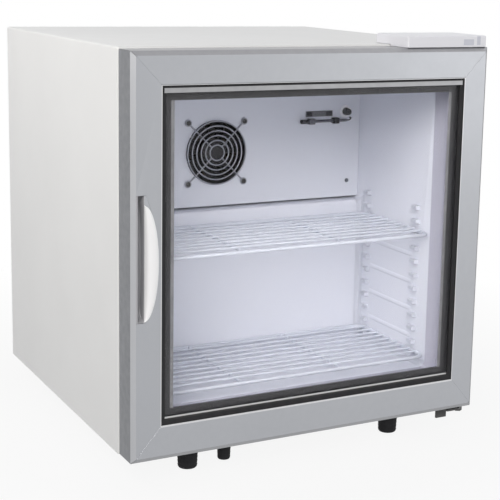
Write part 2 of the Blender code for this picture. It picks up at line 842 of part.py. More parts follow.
def make_door_frame():
    """Make the four mitred profiles, hollow, with the handle and hinge cut-outs."""
    names = {"left": "left_stile", "right": "right_stile", "top": "top_rail", "bottom": "bottom_rail"}
    bars = {}
    for side, name in names.items():
        bar = mitred_bar(name, frame_section(), side, ALUMINIUM)
        boolean(bar, mitred_bar(f"{name}_hollow", chamber_section(), side, trim=-FRAME_WALL))
        bars[side] = bar
    length = BUSH_L + 2 * DOOR_CLEAR
    boolean(bars["top"], pin_cutter("top_pin_space", BUSH_R + GAP, DOOR_TOP - BUSH_L - GAP, length))
    boolean(bars["bottom"], pin_cutter("low_pin_space", BUSH_R + GAP, DOOR_BOTTOM - 2 * DOOR_CLEAR, length))
    boolean(bars["left"], handle_solid("handle_seat", HANDLE_REACH + GAP, -GAP, HANDLE_RIM + GAP, GAP))
    boolean(bars["left"], handle_solid("handle_space", HANDLE_BODY + GAP, -GAP, HANDLE_DEPTH, GAP))
    return list(bars.values())


def make_corner_keys():
    """Make the four corner keys that hold the mitres together inside the profiles."""
    wall = FRAME_WALL + GAP
    reach = BEAD_U - FRAME_WALL - GAP
    near = FRONT_Y + FRAME_WALL + FRAME_BEVEL * 0.6 + GAP
    depth = DOOR_T - 2 * FRAME_WALL - FRAME_BEVEL * 0.6 - 2 * GAP
    keys = []
    for name, sign_x, sign_z in (("top_left_key", -1, 1), ("top_right_key", 1, 1),
                                 ("bottom_left_key", -1, -1), ("bottom_right_key", 1, -1)):
        corner_z = DOOR_TOP if sign_z > 0 else DOOR_BOTTOM
        scale = SIDE_SCALE["top" if sign_z > 0 else "bottom"]
        shape = [(wall, wall), (KEY_LEG, wall), (KEY_LEG, reach), (reach, reach), (reach, KEY_LEG), (wall, KEY_LEG)]
        outline = [(sign_x * (SIDE_X - u), corner_z - sign_z * w * scale) for u, w in shape]
        key = plate(name, outline, depth, near, "Y", ZINC_STEEL)
        if sign_x > 0:
            start = DOOR_TOP - BUSH_L - GAP if sign_z > 0 else DOOR_BOTTOM - GAP
            boolean(key, pin_cutter(f"{name}_hole", BUSH_R + GAP, start, BUSH_L + 2 * GAP))
        keys.append(key)
    return keys


def handle_outline(reach, grow):
    """Return the D-shaped outline of the handle, straight on the left."""
    half = HANDLE_H / 2 + grow
    left = HANDLE_U - grow
    points = [(left, -half), (HANDLE_SHOULDER, -half)]
    steps = 12
    for step in range(1, steps):
        share = -1 + 2 * step / steps
        points.append((HANDLE_SHOULDER + (reach - HANDLE_SHOULDER) * (1 - share * share), half * share))
    points += [(HANDLE_SHOULDER, half), (left, half)]
    return points


def handle_solid(name, reach, start, depth, grow=0.0, material=None):
    """Extrude the handle's outline back from the front of the door."""
    outline = [(-SIDE_X + u, DOOR_MID + w) for u, w in handle_outline(reach, grow)]
    return plate(name, outline, depth - start, FRONT_Y + start, "Y", material)


def handle_scoop():
    """Loft the hollow of the handle: a deep finger groove on the left and a ramp on the right."""
    half = HANDLE_H / 2 - HANDLE_WALL
    left = HANDLE_U + HANDLE_WALL
    deep = HANDLE_DEPTH - 2 * HANDLE_WALL
    stations = 14
    bm = bmesh.new()
    rings = []
    for step in range(stations + 1):
        share = -1 + 2 * step / stations
        share = math.copysign(abs(share) ** 0.8, share)
        bulge = 1 - share * share
        right = HANDLE_SHOULDER + (HANDLE_REACH - HANDLE_WALL - HANDLE_SHOULDER) * bulge
        body = HANDLE_SHOULDER + (HANDLE_BODY - HANDLE_WALL - HANDLE_SHOULDER) * bulge
        sink = deep * max(1 - abs(share) ** 8, 0.12)
        groove = left + GROOVE_W
        ramp = body - groove
        section = [(left, -HANDLE_WALL), (left, sink), (groove, sink), (groove + ramp * 0.45, sink * 0.62),
                   (groove + ramp * 0.80, sink * 0.26), (body, HANDLE_RIM * 0.55),
                   (right, 0.0), (right, -HANDLE_WALL)]
        rings.append([bm.verts.new((-SIDE_X + u, FRONT_Y + v, DOOR_MID + half * share)) for u, v in section])
    bm.faces.new(rings[0])
    bm.faces.new(rings[-1])
    for first, second in zip(rings, rings[1:]):
        for spot in range(len(first)):
            follow = (spot + 1) % len(first)
            bm.faces.new((first[spot], first[follow], second[follow], second[spot]))
    return add_object("handle_hollow", mesh_from("handle_hollow", bm))


def make_handle():
    """Make the moulded handle cup that is set into the left stile."""
    rim = handle_solid("handle_rim", HANDLE_REACH, 0.0, HANDLE_RIM)
    body = handle_solid("handle_body", HANDLE_BODY, HANDLE_RIM / 2, HANDLE_DEPTH - GAP, -GAP)
    cup = joined("handle_cup", [body, rim], WHITE_PLASTIC)
    boolean(cup, handle_scoop())
    return cup


def make_glazing():
    """Make the insulated glass unit with its gasket, spacer and glazing bead."""
    pane_w = SIDE_X - PANE_EDGE
    low = DOOR_BOTTOM + PANE_EDGE * SIDE_SCALE["bottom"]
    high = DOOR_TOP - PANE_EDGE * SIDE_SCALE["top"]
    panes = []
    for name, v in (("outer_pane", OUTER_PANE_V), ("inner_pane", INNER_PANE_V)):
        y = FRONT_Y + v
        panes.append(box(name, (-pane_w, y, low), (pane_w, y + PANE_T, high), GLASS))
    face = OUTER_PANE_V - GAP
    lip = LIP_T + GAP
    edge = FRAME_W + GAP
    gasket = [(edge, LIP_T * 0.45), (GASKET_U - LIP_T * 0.4, LIP_T * 0.55), (GASKET_U, LIP_T), (GASKET_U, face),
              (PANE_EDGE, face), (PANE_EDGE, lip), (edge, lip)]
    spacer = [(PANE_EDGE, SPACER_V), (SPACER_EDGE, SPACER_V),
              (SPACER_EDGE, SPACER_V + SPACER_D), (PANE_EDGE, SPACER_V + SPACER_D)]
    slope = DOOR_T / 8
    bead = [(BEAD_U + GAP, POCKET_V + GAP), (POCKET_U + GAP, POCKET_V + GAP), (POCKET_U + GAP, BEAD_V),
            (BEAD_REACH, BEAD_V), (BEAD_REACH, DOOR_T - slope), (BEAD_REACH - slope, DOOR_T),
            (BEAD_U + GAP, DOOR_T)]
    rings = [
        mitred_ring("glazing_gasket", gasket, BLACK_RUBBER),
        mitred_ring("spacer_frame", spacer, SPACER_METAL),
        mitred_ring("glazing_bead", bead, WHITE_PLASTIC),
    ]
    return panes + rings


def make_door_seal():
    """Make the magnetic seal round the back of the door."""
    back = DOOR_T + DOOR_GAP - GAP
    face = DOOR_T + GAP
    inner = SEAL_INSET + SEAL_W
    round_off = SEAL_W / 6
    waist = face + (back - face) * 0.4
    section = [(SEAL_INSET, face), (inner, face), (inner, waist), (inner - round_off, back),
               (SEAL_INSET + round_off, back), (SEAL_INSET, waist)]
    plain = {"top": 1.0, "bottom": 1.0}
    return [mitred_ring("magnetic_seal", section, GREY_RUBBER, plain)]


def make_bushes():
    """Make the plastic bushes in which the door turns on its pins."""
    bore = PIN_R + RUN_GAP
    profile = [(bore, BUSH_FLANGE_T), (BUSH_FLANGE_R, BUSH_FLANGE_T), (BUSH_FLANGE_R, GAP), (BUSH_R, GAP),
               (BUSH_R, -BUSH_L + GAP), (bore, -BUSH_L + GAP), (bore, BUSH_FLANGE_T)]
    upper = turned("top_hinge_bush", profile, (PIVOT_X, PIVOT_Y, DOOR_TOP), BLACK_PLASTIC)
    flipped = [(radius, -height) for radius, height in reversed(profile)]
    lower = turned("bottom_hinge_bush", flipped, (PIVOT_X, PIVOT_Y, DOOR_BOTTOM), BLACK_PLASTIC)
    return [upper, lower]


def make_hinges():
    """Make the steel hinge brackets with their pins, and the cover of the top one."""
    back = BODY_FRONT_Y + COVER_D * 0.38
    nose = PIN_R * 1.8
    left = SIDE_X - COVER_W + 3 * COVER_INSET
    low = TOP_Z + GAP
    upper = [(left, BODY_FRONT_Y + GAP), (PIVOT_X - 3 * nose, BODY_FRONT_Y + GAP),
             *arc((PIVOT_X, PIVOT_Y), nose, 200, 360, 6), (PIVOT_X + nose, back), (left, back)]
    top_plate = plate("top_plate", upper, BRACKET_T, low, "Z")
    pin_low = DOOR_TOP - BUSH_L + 3 * GAP
    top_pin = cylinder("top_pin", PIN_R, low + BRACKET_T * 1.6 - pin_low, (PIVOT_X, PIVOT_Y, pin_low), "Z")
    top = joined("top_hinge_bracket", [top_plate, top_pin], ZINC_STEEL)

    under = BASE_Z - GAP - BRACKET_T
    left = SIDE_X - 2.2 * SIDE_WALL / 2 - COVER_INSET
    tip_y = PIVOT_Y - 2 * nose
    lower = [(left, PIVOT_Y), (left + 2 * nose, tip_y), (PIVOT_X - nose, tip_y), *arc((PIVOT_X, PIVOT_Y), nose, 290, 360, 4),
             (PIVOT_X + nose, back), (left, back)]
    low_plate = plate("low_plate", lower, BRACKET_T, under, "Z")
    length = BASE_Z + DOOR_CLEAR + BUSH_L - 3 * GAP - under + BRACKET_T * 2
    low_pin = cylinder("low_pin", PIN_R, length, (PIVOT_X, PIVOT_Y, under - BRACKET_T * 2), "Z")
    start = (PIVOT_X, PIVOT_Y, under - BRACKET_T * 1.7)
    nut = cylinder("low_nut", PIN_R * 2, BRACKET_T * 1.8, start, "Z", sides=6)
    tab = box("low_tab", (left + GAP, PIVOT_Y, under - BRACKET_TAB_H),
              (left + 3 * nose, PIVOT_Y + BRACKET_T, under + GAP))
    bottom = joined("bottom_hinge_bracket", [low_plate, low_pin, nut, tab], BLACK_STEEL)
    return top, bottom, make_hinge_cover()


def make_hinge_cover():
    """Make the moulded cover over the top hinge, open below."""
    left = SIDE_X - COVER_W
    right = SIDE_X - COVER_INSET
    front = FRONT_Y + COVER_INSET
    cover = box("hinge_cover", (left, front, TOP_Z + GAP), (right, front + COVER_D, TOP_Z + COVER_H),
                WHITE_PLASTIC)
    bm = bmesh.new()
    bm.from_mesh(cover.data)
    under = [face for face in bm.faces if face.normal.z < -0.5]
    bmesh.ops.delete(bm, geom=under, context="FACES")
    bm.to_mesh(cover.data)
    bm.free()
    bevel(cover, COVER_H / 5, 3, 60.0)
    solidify(cover, COVER_H / 8)
    return cover


# Fan

def make_cooling_cover():
    """Make the sheet cover in front of the evaporator, with its openings and an air gap below it."""
    half = LINER_X - GAP
    low = HUMP_Z + AIR_GAP
    high = CEIL_Z - GAP
    back = PANEL_Y + COVER_FLANGE
    round_top = arc((half - LINER_R, high - LINER_R), LINER_R, 0, 90, 2)
    outline = [(half, low), *round_top, *[(-x, z) for x, z in reversed(round_top)], (-half, low)]
    bm = bmesh.new()
    front_ring = [bm.verts.new((x, PANEL_Y, z)) for x, z in outline]
    back_ring = [bm.verts.new((x, back, z)) for x, z in outline]
    bm.faces.new(front_ring)
    for index in range(len(outline)):
        follow = (index + 1) % len(outline)
        bm.faces.new((front_ring[index], front_ring[follow], back_ring[follow], back_ring[index]))
    bmesh.ops.recalc_face_normals(bm, faces=bm.faces)
    mesh = bpy.data.meshes.new("evaporator_cover")
    bm.to_mesh(mesh)
    bm.free()
    cover = add_object("evaporator_cover", mesh, LINER_WHITE)
    if cover.data.polygons[0].normal.y > 0:
        cover.data.flip_normals()
    solidify(cover, COVER_T)
    y = PANEL_Y - COVER_T
    boolean(cover, cylinder("fan_opening", FAN_BORE - GAP, 3 * COVER_T, (FAN_X, y, FAN_Z), "Y", sides=48))
    boolean(cover, cylinder("knob_opening", SHAFT_R + GAP, 3 * COVER_T, (KNOB_X, y, KNOB_Z), "Y", sides=16))
    lead = (KNOB_X + BULB_LEAD, y, lead_z())
    boolean(cover, cylinder("lead_opening", LEAD_R + GAP, 3 * COVER_T, lead, "Y", sides=12))
    return cover


def fan_corners():
    """Return the four screw places of the fan."""
    half = FAN_PITCH / 2
    return [(FAN_X + sx * half, FAN_Z + sz * half) for sx, sz in ((1, 1), (-1, 1), (-1, -1), (1, -1))]


def make_fan_frame():
    """Make the fan's square housing, with its round duct, four struts and motor seat."""
    half = FAN_SIZE / 2
    outline = rounded_rectangle(half, half, FAN_SIZE / 18, 3, (FAN_X, FAN_Z))
    duct = arc((FAN_X, FAN_Z), FAN_BORE, 0, 360 - 360 / 48, 47)
    shell = plate("fan_shell", outline, FAN_T, FAN_Y, "Y", holes=(duct,))
    seat_y = FAN_Y + FAN_T - SEAT_T
    seat = cylinder("motor_seat", HUB_R + WIRE_R, SEAT_T, (FAN_X, seat_y, FAN_Z), "Y", sides=24)
    pieces = [shell, seat]
    for index in range(4):
        strut = box(f"fan_strut_{index}", (-SEAT_T / 2, seat_y + GAP, HUB_R - SEAT_T / 2),
                    (SEAT_T / 2, FAN_Y + FAN_T - GAP, FAN_BORE + WIRE_R))
        angle = math.radians(30 + 90 * index)
        turn = Matrix.Translation((FAN_X, 0.0, FAN_Z)) @ Matrix.Rotation(angle, 4, "Y")
        strut.matrix_world = turn @ Matrix.Translation(strut.location)
        pieces.append(strut)
    frame = joined("fan_housing", pieces, BLACK_PLASTIC)
    for index, (x, z) in enumerate(fan_corners()):
        start = (x, FAN_Y - WIRE_R, z)
        hole = cylinder(f"fan_screw_hole_{index}", SEAT_T / 2, FAN_T + 2 * WIRE_R, start, "Y", sides=12)
        boolean(frame, hole)
    start = (FAN_X, seat_y - WIRE_R, FAN_Z)
    bearing = cylinder("bearing_hole", SHAFT_R + RUN_GAP, SEAT_T + 2 * WIRE_R, start, "Y", sides=16)
    boolean(frame, bearing)
    return frame


def blade_rows(turn):
    """Return rows of points on one twisted blade of the fan, from root to tip."""
    rows = []
    for step in range(4):
        share = step / 3
        radius = HUB_R - BLADE_T + (BLADE_TIP - HUB_R + BLADE_T) * share
        spread = math.radians(30 + 6 * share)
        lean = BLADE_D * (1.0 - 0.4 * share)
        row = []
        for spot in range(4):
            along = spot / 3
            angle = turn + math.radians(14) * share + spread * (along - 0.5)
            bow = BLADE_T * math.sin(math.pi * along)
            y = (along - 0.5) * lean - bow
            row.append((radius * math.cos(angle), y, radius * math.sin(angle)))
        rows.append(row)
    return rows


def make_fan_rotor():
    """Make the rotor: a cupped hub, its shaft and seven swept blades."""
    hub_front = FAN_Y + SEAT_T
    hub_back = FAN_Y + FAN_T - SEAT_T - 2 * GAP
    middle = (hub_front + hub_back) / 2
    long = hub_back - hub_front
    soft = long / 6
    profile = [(0.0, long / 2), (HUB_R, long / 2), (HUB_R, -long / 2 + soft), (HUB_R - soft, -long / 2),
               (0.0, -long / 2)]
    hub = turned("rotor_hub", profile, (FAN_X, middle, FAN_Z), axis="Y", steps=28)
    shaft = cylinder("rotor_shaft", SHAFT_R, SEAT_T, (FAN_X, hub_back - 2 * GAP, FAN_Z), "Y", sides=16)
    pieces = [hub, shaft]
    for index in range(BLADE_COUNT):
        rows = blade_rows(2 * math.pi * index / BLADE_COUNT)
        rows = [[(x + FAN_X, y + middle, z + FAN_Z) for x, y, z in row] for row in rows]
        blade = side_surface(f"blade_{index}", rows)
        solidify(blade, BLADE_T, 0.0)
        pieces.append(blade)
    rotor = joined("fan_rotor", pieces, BLACK_PLASTIC)
    smooth(rotor, 40.0)
    carry("fan_axis", (FAN_X, middle, FAN_Z), [rotor])
    return rotor


def make_fan_guard():
    """Make the wire guard: concentric rings on two crossed wires that end in screw eyes."""
    ring_y = PANEL_Y - GUARD_STAND
    cross_y = ring_y + WIRE_R * 1.5
    pieces = []
    for index in range(GUARD_RINGS):
        radius = GUARD_IN + (GUARD_OUT - GUARD_IN) * index / (GUARD_RINGS - 1)
        sides = 20 if index < 2 else 28
        ring = arc((0, 0), radius, 0, 360 - 360 / sides, sides - 1)
        points = [(FAN_X + x, ring_y, FAN_Z + z) for x, z in ring]
        pieces.append(wire(f"guard_ring_{index}", points, WIRE_R, closed=True))
    eye_r = 4 * WIRE_R
    eye_y = PANEL_Y - WIRE_R - GAP
    for index, (x, z) in enumerate(fan_corners()):
        away = Vector((x - FAN_X, 0.0, z - FAN_Z)).normalized()
        centre = Vector((FAN_X, 0.0, FAN_Z))
        inner = centre + away * (GUARD_IN - WIRE_R) + Vector((0.0, cross_y, 0.0))
        outer = centre + away * (GUARD_OUT + 2 * WIRE_R) + Vector((0.0, cross_y, 0.0))
        tip = Vector((x, eye_y, z)) - away * (eye_r - WIRE_R * 0.5)
        pieces.append(wire(f"guard_spoke_{index}", [inner, outer, tip], WIRE_R))
        loop = [(x + px, eye_y, z + pz) for px, pz in arc((0, 0), eye_r, 0, 330, 11)]
        pieces.append(wire(f"guard_eye_{index}", loop, WIRE_R, closed=True))
    guard = joined("fan_guard", pieces, CHROME_WIRE)
    return smooth(guard, 50.0)


# Thermostat

def bulb_z():
    """Return the height of the sensing bulb, just below the knob."""
    return KNOB_Z - KNOB_R - BULB_R * 2


def lead_z():
    """Return the height at which the bulb's lead goes through the cover."""
    return KNOB_Z - KNOB_R - LEAD_R


def make_thermostat():
    """Make the thermostat behind the cover, and its knob in front of it."""
    body_y = PANEL_Y + COVER_T + GAP
    low = (KNOB_X - CASE_HALF, body_y, KNOB_Z - CASE_HALF)
    case = box("case", low, (KNOB_X + CASE_HALF, body_y + CASE_D, KNOB_Z + CASE_HALF))
    shaft_y = PANEL_Y - KNOB_L * 0.4
    shaft = cylinder("shaft", SHAFT_R, body_y + SHEET - shaft_y, (KNOB_X, shaft_y, KNOB_Z), "Y", sides=16)
    joined("thermostat", [case, shaft], ZINC_STEEL)
    face = PANEL_Y - GAP
    soft = KNOB_R / 8
    profile = [(0.0, KNOB_L), (KNOB_R - soft, KNOB_L), (KNOB_R, KNOB_L - soft), (KNOB_R, 2 * soft),
               (KNOB_R + soft, soft), (KNOB_R + soft, 0.0), (0.0, 0.0)]
    body = turned("knob_body", profile, (KNOB_X, face, KNOB_Z), axis="-Y", steps=24)
    grip = box("knob_grip", (KNOB_X - soft, face - KNOB_L - soft, KNOB_Z - KNOB_R * 0.2),
               (KNOB_X + soft, face - KNOB_L + 2 * soft, KNOB_Z + KNOB_R * 0.9))
    knob = joined("thermostat_knob", [body, grip], BLACK_PLASTIC)
    socket = (KNOB_X, shaft_y - GAP, KNOB_Z)
    boolean(knob, cylinder("knob_socket", SHAFT_R + RUN_GAP, KNOB_L * 0.5, socket, "Y", sides=16))
    smooth(knob, 40.0)
    carry("knob_axis", (KNOB_X, face, KNOB_Z), [knob])


def make_sensor():
    """Make the sensing bulb along the cover, held by two clips, with its lead through the cover."""
    z = bulb_z()
    y = PANEL_Y - GAP - BULB_R * 2
    left = KNOB_X - BULB_L
    bulb = wire("bulb_body", [(left, y, z), (KNOB_X, y, z)], BULB_R, sides=2)
    lead_x = KNOB_X + BULB_LEAD
    top = lead_z()
    path = [(KNOB_X - LEAD_R, y, z), (lead_x - 4 * LEAD_R, y, z), (lead_x - LEAD_R, y, (z + top) / 2),
            (lead_x, y + LEAD_R, top), (lead_x, y + 3 * LEAD_R, top), (lead_x, PANEL_Y + COVER_T, top)]
    lead = wire("bulb_lead", path, LEAD_R, sides=1)
    joined("sensor_bulb", [bulb, lead], BLACK_PLASTIC)
    for name, x in (("left_bulb_clip", left + CLIP_W), ("right_bulb_clip", KNOB_X - 2 * CLIP_W)):
        clip = box(name, (x - CLIP_W / 2, y - BULB_R * 1.8, z - BULB_R * 1.9),
                   (x + CLIP_W / 2, PANEL_Y - GAP, z + BULB_R * 1.9), BLACK_PLASTIC)
        start = (x - CLIP_W, y, z)
        boolean(clip, cylinder(f"{name}_bore", BULB_R + GAP, 2 * CLIP_W, start, "X", sides=16))


# Evaporator

def comb_block(name, centre, width, depth, height, material):
    """Make a row of fins that hang from a spine plate."""
    count = int(width / FIN_PITCH)
    left = centre[0] - (count - 1) * FIN_PITCH / 2
    low = centre[2] - height / 2
    high = centre[2] + height / 2
    outline = [(left - FIN_T / 2, high)]
    for index in range(count):
        x = left + index * FIN_PITCH
        outline += [(x - FIN_T / 2, low), (x + FIN_T / 2, low)]
        if index < count - 1:
            outline += [(x + FIN_T / 2, high - FIN_T), (x + FIN_PITCH - FIN_T / 2, high - FIN_T)]
    outline.append((left + (count - 1) * FIN_PITCH + FIN_T / 2, high))
    return plate(name, outline, depth, centre[1] - depth / 2, "Y", material)


def serpentine(name, centre, width, height, passes, radius, material, y, lead=()):
    """Make a tube that runs to and fro across the face of a finned block, after an optional lead-in."""
    step = height / passes
    half = width / 2 - step / 2
    points = list(lead)
    for index in range(passes):
        z = centre[2] - height / 2 + step * (index + 0.5)
        sign = 1 if index % 2 == 0 else -1
        points += [(centre[0] - sign * half, y, z), (centre[0] + sign * half, y, z)]
        if index < passes - 1:
            bend = arc((0.0, 0.0), step / 2, -90, 90, 6)[1:-1]
            points += [(centre[0] + sign * (half + px), y, z + step / 2 + pz) for px, pz in bend]
    return wire(name, points, radius, material, sides=1)


def make_evaporator():
    """Make the finned evaporator with its tube, and return the ends of the tube."""
    y = drain_y() + COIL_D / 8
    centre = (0.0, y, tray_floor() + TRAY_T + GAP + COIL_H / 2)
    comb_block("evaporator_fins", centre, COIL_W, COIL_D, COIL_H, BARE_ALUMINIUM)
    front = centre[1] - COIL_D / 2 - TUBE_R - GAP
    width = COIL_W - FIN_PITCH
    serpentine("evaporator_tube", centre, width, COIL_H, COIL_PASSES, TUBE_R, COPPER, front)
    step = COIL_H / COIL_PASSES
    end_x = -(width - step) / 2
    low_end = (end_x, front, centre[2] - COIL_H / 2 + step / 2)
    high_end = (end_x, front, centre[2] + COIL_H / 2 - step / 2)
    return low_end, high_end


def tray_floor():
    """Return the height of the underside of the drip tray."""
    return HUMP_Z + GAP


def make_drip_tray():
    """Make the drip tray under the evaporator and the tube that drains it."""
    low = tray_floor()
    y = drain_y()
    half_w = COIL_W / 2 + TRAY_RIM
    half_d = COIL_D / 2 + COIL_D / 8 + TRAY_RIM
    tray = box("drip_tray", (-half_w, y - half_d, low), (half_w, y + half_d, low + TRAY_RISE), LINER_WHITE)
    bm = bmesh.new()
    bm.from_mesh(tray.data)
    roof = [face for face in bm.faces if face.normal.z > 0.5]
    bmesh.ops.delete(bm, geom=roof, context="FACES")
    bm.to_mesh(tray.data)
    bm.free()
    solidify(tray, TRAY_T)
    bore = DRAIN_R * 0.7
    start = (drain_x(), y, low - TRAY_T)
    boolean(tray, cylinder("tray_hole", bore, 3 * TRAY_T, start, "Z", sides=16))
    tube_low = MACHINE_Z - HUMP_WALL * 0.6
    length = low - GAP - tube_low
    profile = [(bore, length), (DRAIN_R, length), (DRAIN_R, 0.0), (bore, 0.0), (bore, length)]
    turned("drain_tube", profile, (drain_x(), y, tube_low), GREY_RUBBER, steps=16)


# Machine compartment

def machine_floor():
    """Return the height on which the parts of the machine compartment stand."""
    return BASE_Z + SHEET + GAP


def machine_y():
    """Return the middle of the machine compartment from front to back."""
    return (MACHINE_Y + SHEET + BODY_BACK_Y - SHEET) / 2


def make_compressor():
    """Make the sealed compressor on four rubber mounts, with its relay box."""
    y = machine_y()
    floor = machine_floor()
    low = floor + MOUNT_H + GAP
    r = COMPRESSOR_R
    h = COMPRESSOR_H
    belt = r * 0.97
    profile = [(0.0, h), (r * 0.55, h * 0.985), (r * 0.84, h * 0.91), (r * 0.95, h * 0.80), (r * 0.95, h * 0.56),
               (r, h * 0.555), (r, h * 0.51), (belt, h * 0.505), (belt, h * 0.20), (r * 0.84, h * 0.09),
               (r * 0.55, SHEET / 2), (0.0, SHEET / 2)]
    shell = turned("compressor_shell", profile, (COMPRESSOR_X, y, low), steps=28)
    reach_y = r * 0.72
    outline = rounded_rectangle(r + MOUNT_R, reach_y + MOUNT_R, MOUNT_R, 3, (COMPRESSOR_X, y))
    foot_plate = plate("foot_plate", outline, 2 * SHEET, low, "Z")
    smooth(joined("compressor", [shell, foot_plate], BLACK_STEEL), 40.0)
    neck = MOUNT_R * 0.8
    profile = [(0.0, MOUNT_H), (neck, MOUNT_H), (neck, MOUNT_H * 0.62), (MOUNT_R, MOUNT_H * 0.5),
               (MOUNT_R, 0.0), (0.0, 0.0)]
    for name, sx, sy in (("front_left_mount", -1, -1), ("front_right_mount", 1, -1),
                         ("rear_left_mount", -1, 1), ("rear_right_mount", 1, 1)):
        turned(name, profile, (COMPRESSOR_X + sx * r, y + sy * reach_y, floor), BLACK_RUBBER, steps=16)
    relay_x = COMPRESSOR_X - belt - GAP
    relay_z = low + h * 0.24
    half = RELAY_SIZE / 2
    box("relay_box", (relay_x - RELAY_SIZE * 0.55, y - half, relay_z), (relay_x, y + half, relay_z + half * 1.8),
        BLACK_PLASTIC)
    return low


def make_condenser():
    """Make the finned condenser with its tube, and return the ends of the tube."""
    centre = (CONDENSER_X, machine_y() + TUBE_R, machine_floor() + CONDENSER_H / 2)
    comb_block("condenser_fins", centre, CONDENSER_W, CONDENSER_D, CONDENSER_H, BARE_ALUMINIUM)
    front = centre[1] - CONDENSER_D / 2 - TUBE_R - GAP
    width = CONDENSER_W - FIN_PITCH
    step = CONDENSER_H / COIL_PASSES
    low_z = centre[2] - CONDENSER_H / 2 + step / 2
    foot_x = CONDENSER_X - CONDENSER_W / 2 - DRIER_R - PIPE_R
    foot_z = low_z + 3 * TUBE_R
    lead = [(foot_x, front, foot_z), (foot_x, front, low_z + TUBE_R), (foot_x + TUBE_R, front, low_z)]
    serpentine("condenser_tube", centre, width, CONDENSER_H, COIL_PASSES, TUBE_R, COPPER, front, lead)
    high_end = (CONDENSER_X - (width - step) / 2, front, centre[2] + CONDENSER_H / 2 - step / 2)
    return (foot_x, front, foot_z), high_end


def make_pipes(compressor_low, condenser_ends, evaporator_ends):
    """Join the compressor, condenser, drier and evaporator with their pipes."""
    butt = 2 * GAP
    low_end, high_end = condenser_ends
    drier_x = low_end[0]
    drier_z = low_end[2]
    taper = DRIER_R * 1.2
    profile = [(0.0, DRIER_H), (PIPE_R, DRIER_H), (PIPE_R, DRIER_H - taper / 2),
               (DRIER_R, DRIER_H - 1.5 * taper), (DRIER_R, 1.5 * taper), (PIPE_R, taper / 2), (PIPE_R, 0.0),
               (0.0, 0.0)]
    turned("filter_drier", profile, (drier_x, low_end[1], drier_z + butt), COPPER, steps=16)

    shell_x = COMPRESSOR_X + COMPRESSOR_R * 0.95 + butt
    port_z = compressor_low + COMPRESSOR_H * 0.70
    stand_x = CONDENSER_X - CONDENSER_W / 2 + PIPE_R
    discharge = [(shell_x, machine_y(), port_z), (stand_x, machine_y(), port_z),
                 (stand_x, machine_y(), high_end[2]), (stand_x, high_end[1], high_end[2]),
                 (high_end[0] - butt, high_end[1], high_end[2])]
    wire("discharge_pipe", discharge, PIPE_R, COPPER)

    cold_low, cold_high = evaporator_ends
    x = suction_x()
    y = suction_y()
    run_z = MACHINE_Z - 6 * PIPE_R
    crown = compressor_low + COMPRESSOR_H + butt
    suction = [(cold_low[0] - butt, cold_low[1], cold_low[2]), (x + PIPE_R, cold_low[1], cold_low[2]),
               (x, cold_low[1] + PIPE_R, cold_low[2]), (x, y - PIPE_R, cold_low[2]),
               (x, y, cold_low[2] - PIPE_R), (x, y, run_z + PIPE_R), (x + PIPE_R, y + PIPE_R, run_z),
               (COMPRESSOR_X - PIPE_R, machine_y(), run_z),
               (COMPRESSOR_X, machine_y(), run_z - PIPE_R), (COMPRESSOR_X, machine_y(), crown)]
    wire("suction_pipe", suction, PIPE_R, COPPER)

    thin_y = y + CAPILLARY_STEP
    top = drier_z + butt + DRIER_H + butt
    cross_z = MACHINE_Z - 2 * PIPE_R
    capillary = [(drier_x, low_end[1], top), (drier_x, low_end[1], cross_z), (drier_x, thin_y, cross_z),
                 (x, thin_y, cross_z), (x, thin_y, cold_high[2]), (x, cold_high[1], cold_high[2]),
                 (cold_high[0] - butt, cold_high[1], cold_high[2])]
    wire("capillary_tube", capillary, CAPILLARY_R, COPPER)


def inlet_place():
    """Return the middle of the power inlet in the machine cover."""
    return (0.0, BASE_Z + (MACHINE_Z - BASE_Z) * 0.3)


def make_power_inlet():
    """Make the recessed power inlet with three flat pins, held from inside the machine cover."""
    x, z = inlet_place()
    face = BODY_BACK_Y
    flange_y = BODY_BACK_Y - SHEET - GAP
    body = box("inlet_body", (x - INLET_HALF_W, face - INLET_D, z - INLET_HALF_H),
               (x + INLET_HALF_W, face, z + INLET_HALF_H))
    rim = INLET_HALF_H * 0.4
    flange = box("inlet_flange", (x - INLET_HALF_W - rim, flange_y - 2 * SHEET, z - INLET_HALF_H - rim / 2),
                 (x + INLET_HALF_W + rim, flange_y, z + INLET_HALF_H + rim / 2))
    inlet = joined("power_inlet", [body, flange], BLACK_PLASTIC)
    wall = INLET_HALF_H * 0.2
    socket = box("inlet_socket", (x - INLET_HALF_W + wall, face - INLET_D * 0.75, z - INLET_HALF_H + wall),
                 (x + INLET_HALF_W - wall, face + SHEET, z + INLET_HALF_H - wall))
    boolean(inlet, socket)
    for index in (-1, 0, 1):
        pin_x = x + index * INLET_HALF_W * 0.5
        pin_z = z + (wall if index == 0 else -wall)
        pin = box(f"inlet_pin_{index + 1}", (pin_x - SHEET, face - INLET_D * 0.8, pin_z - 2 * SHEET),
                  (pin_x + SHEET, face - 4 * SHEET, pin_z + 2 * SHEET))
        boolean(inlet, pin, "UNION")
    return inlet


# Shelves

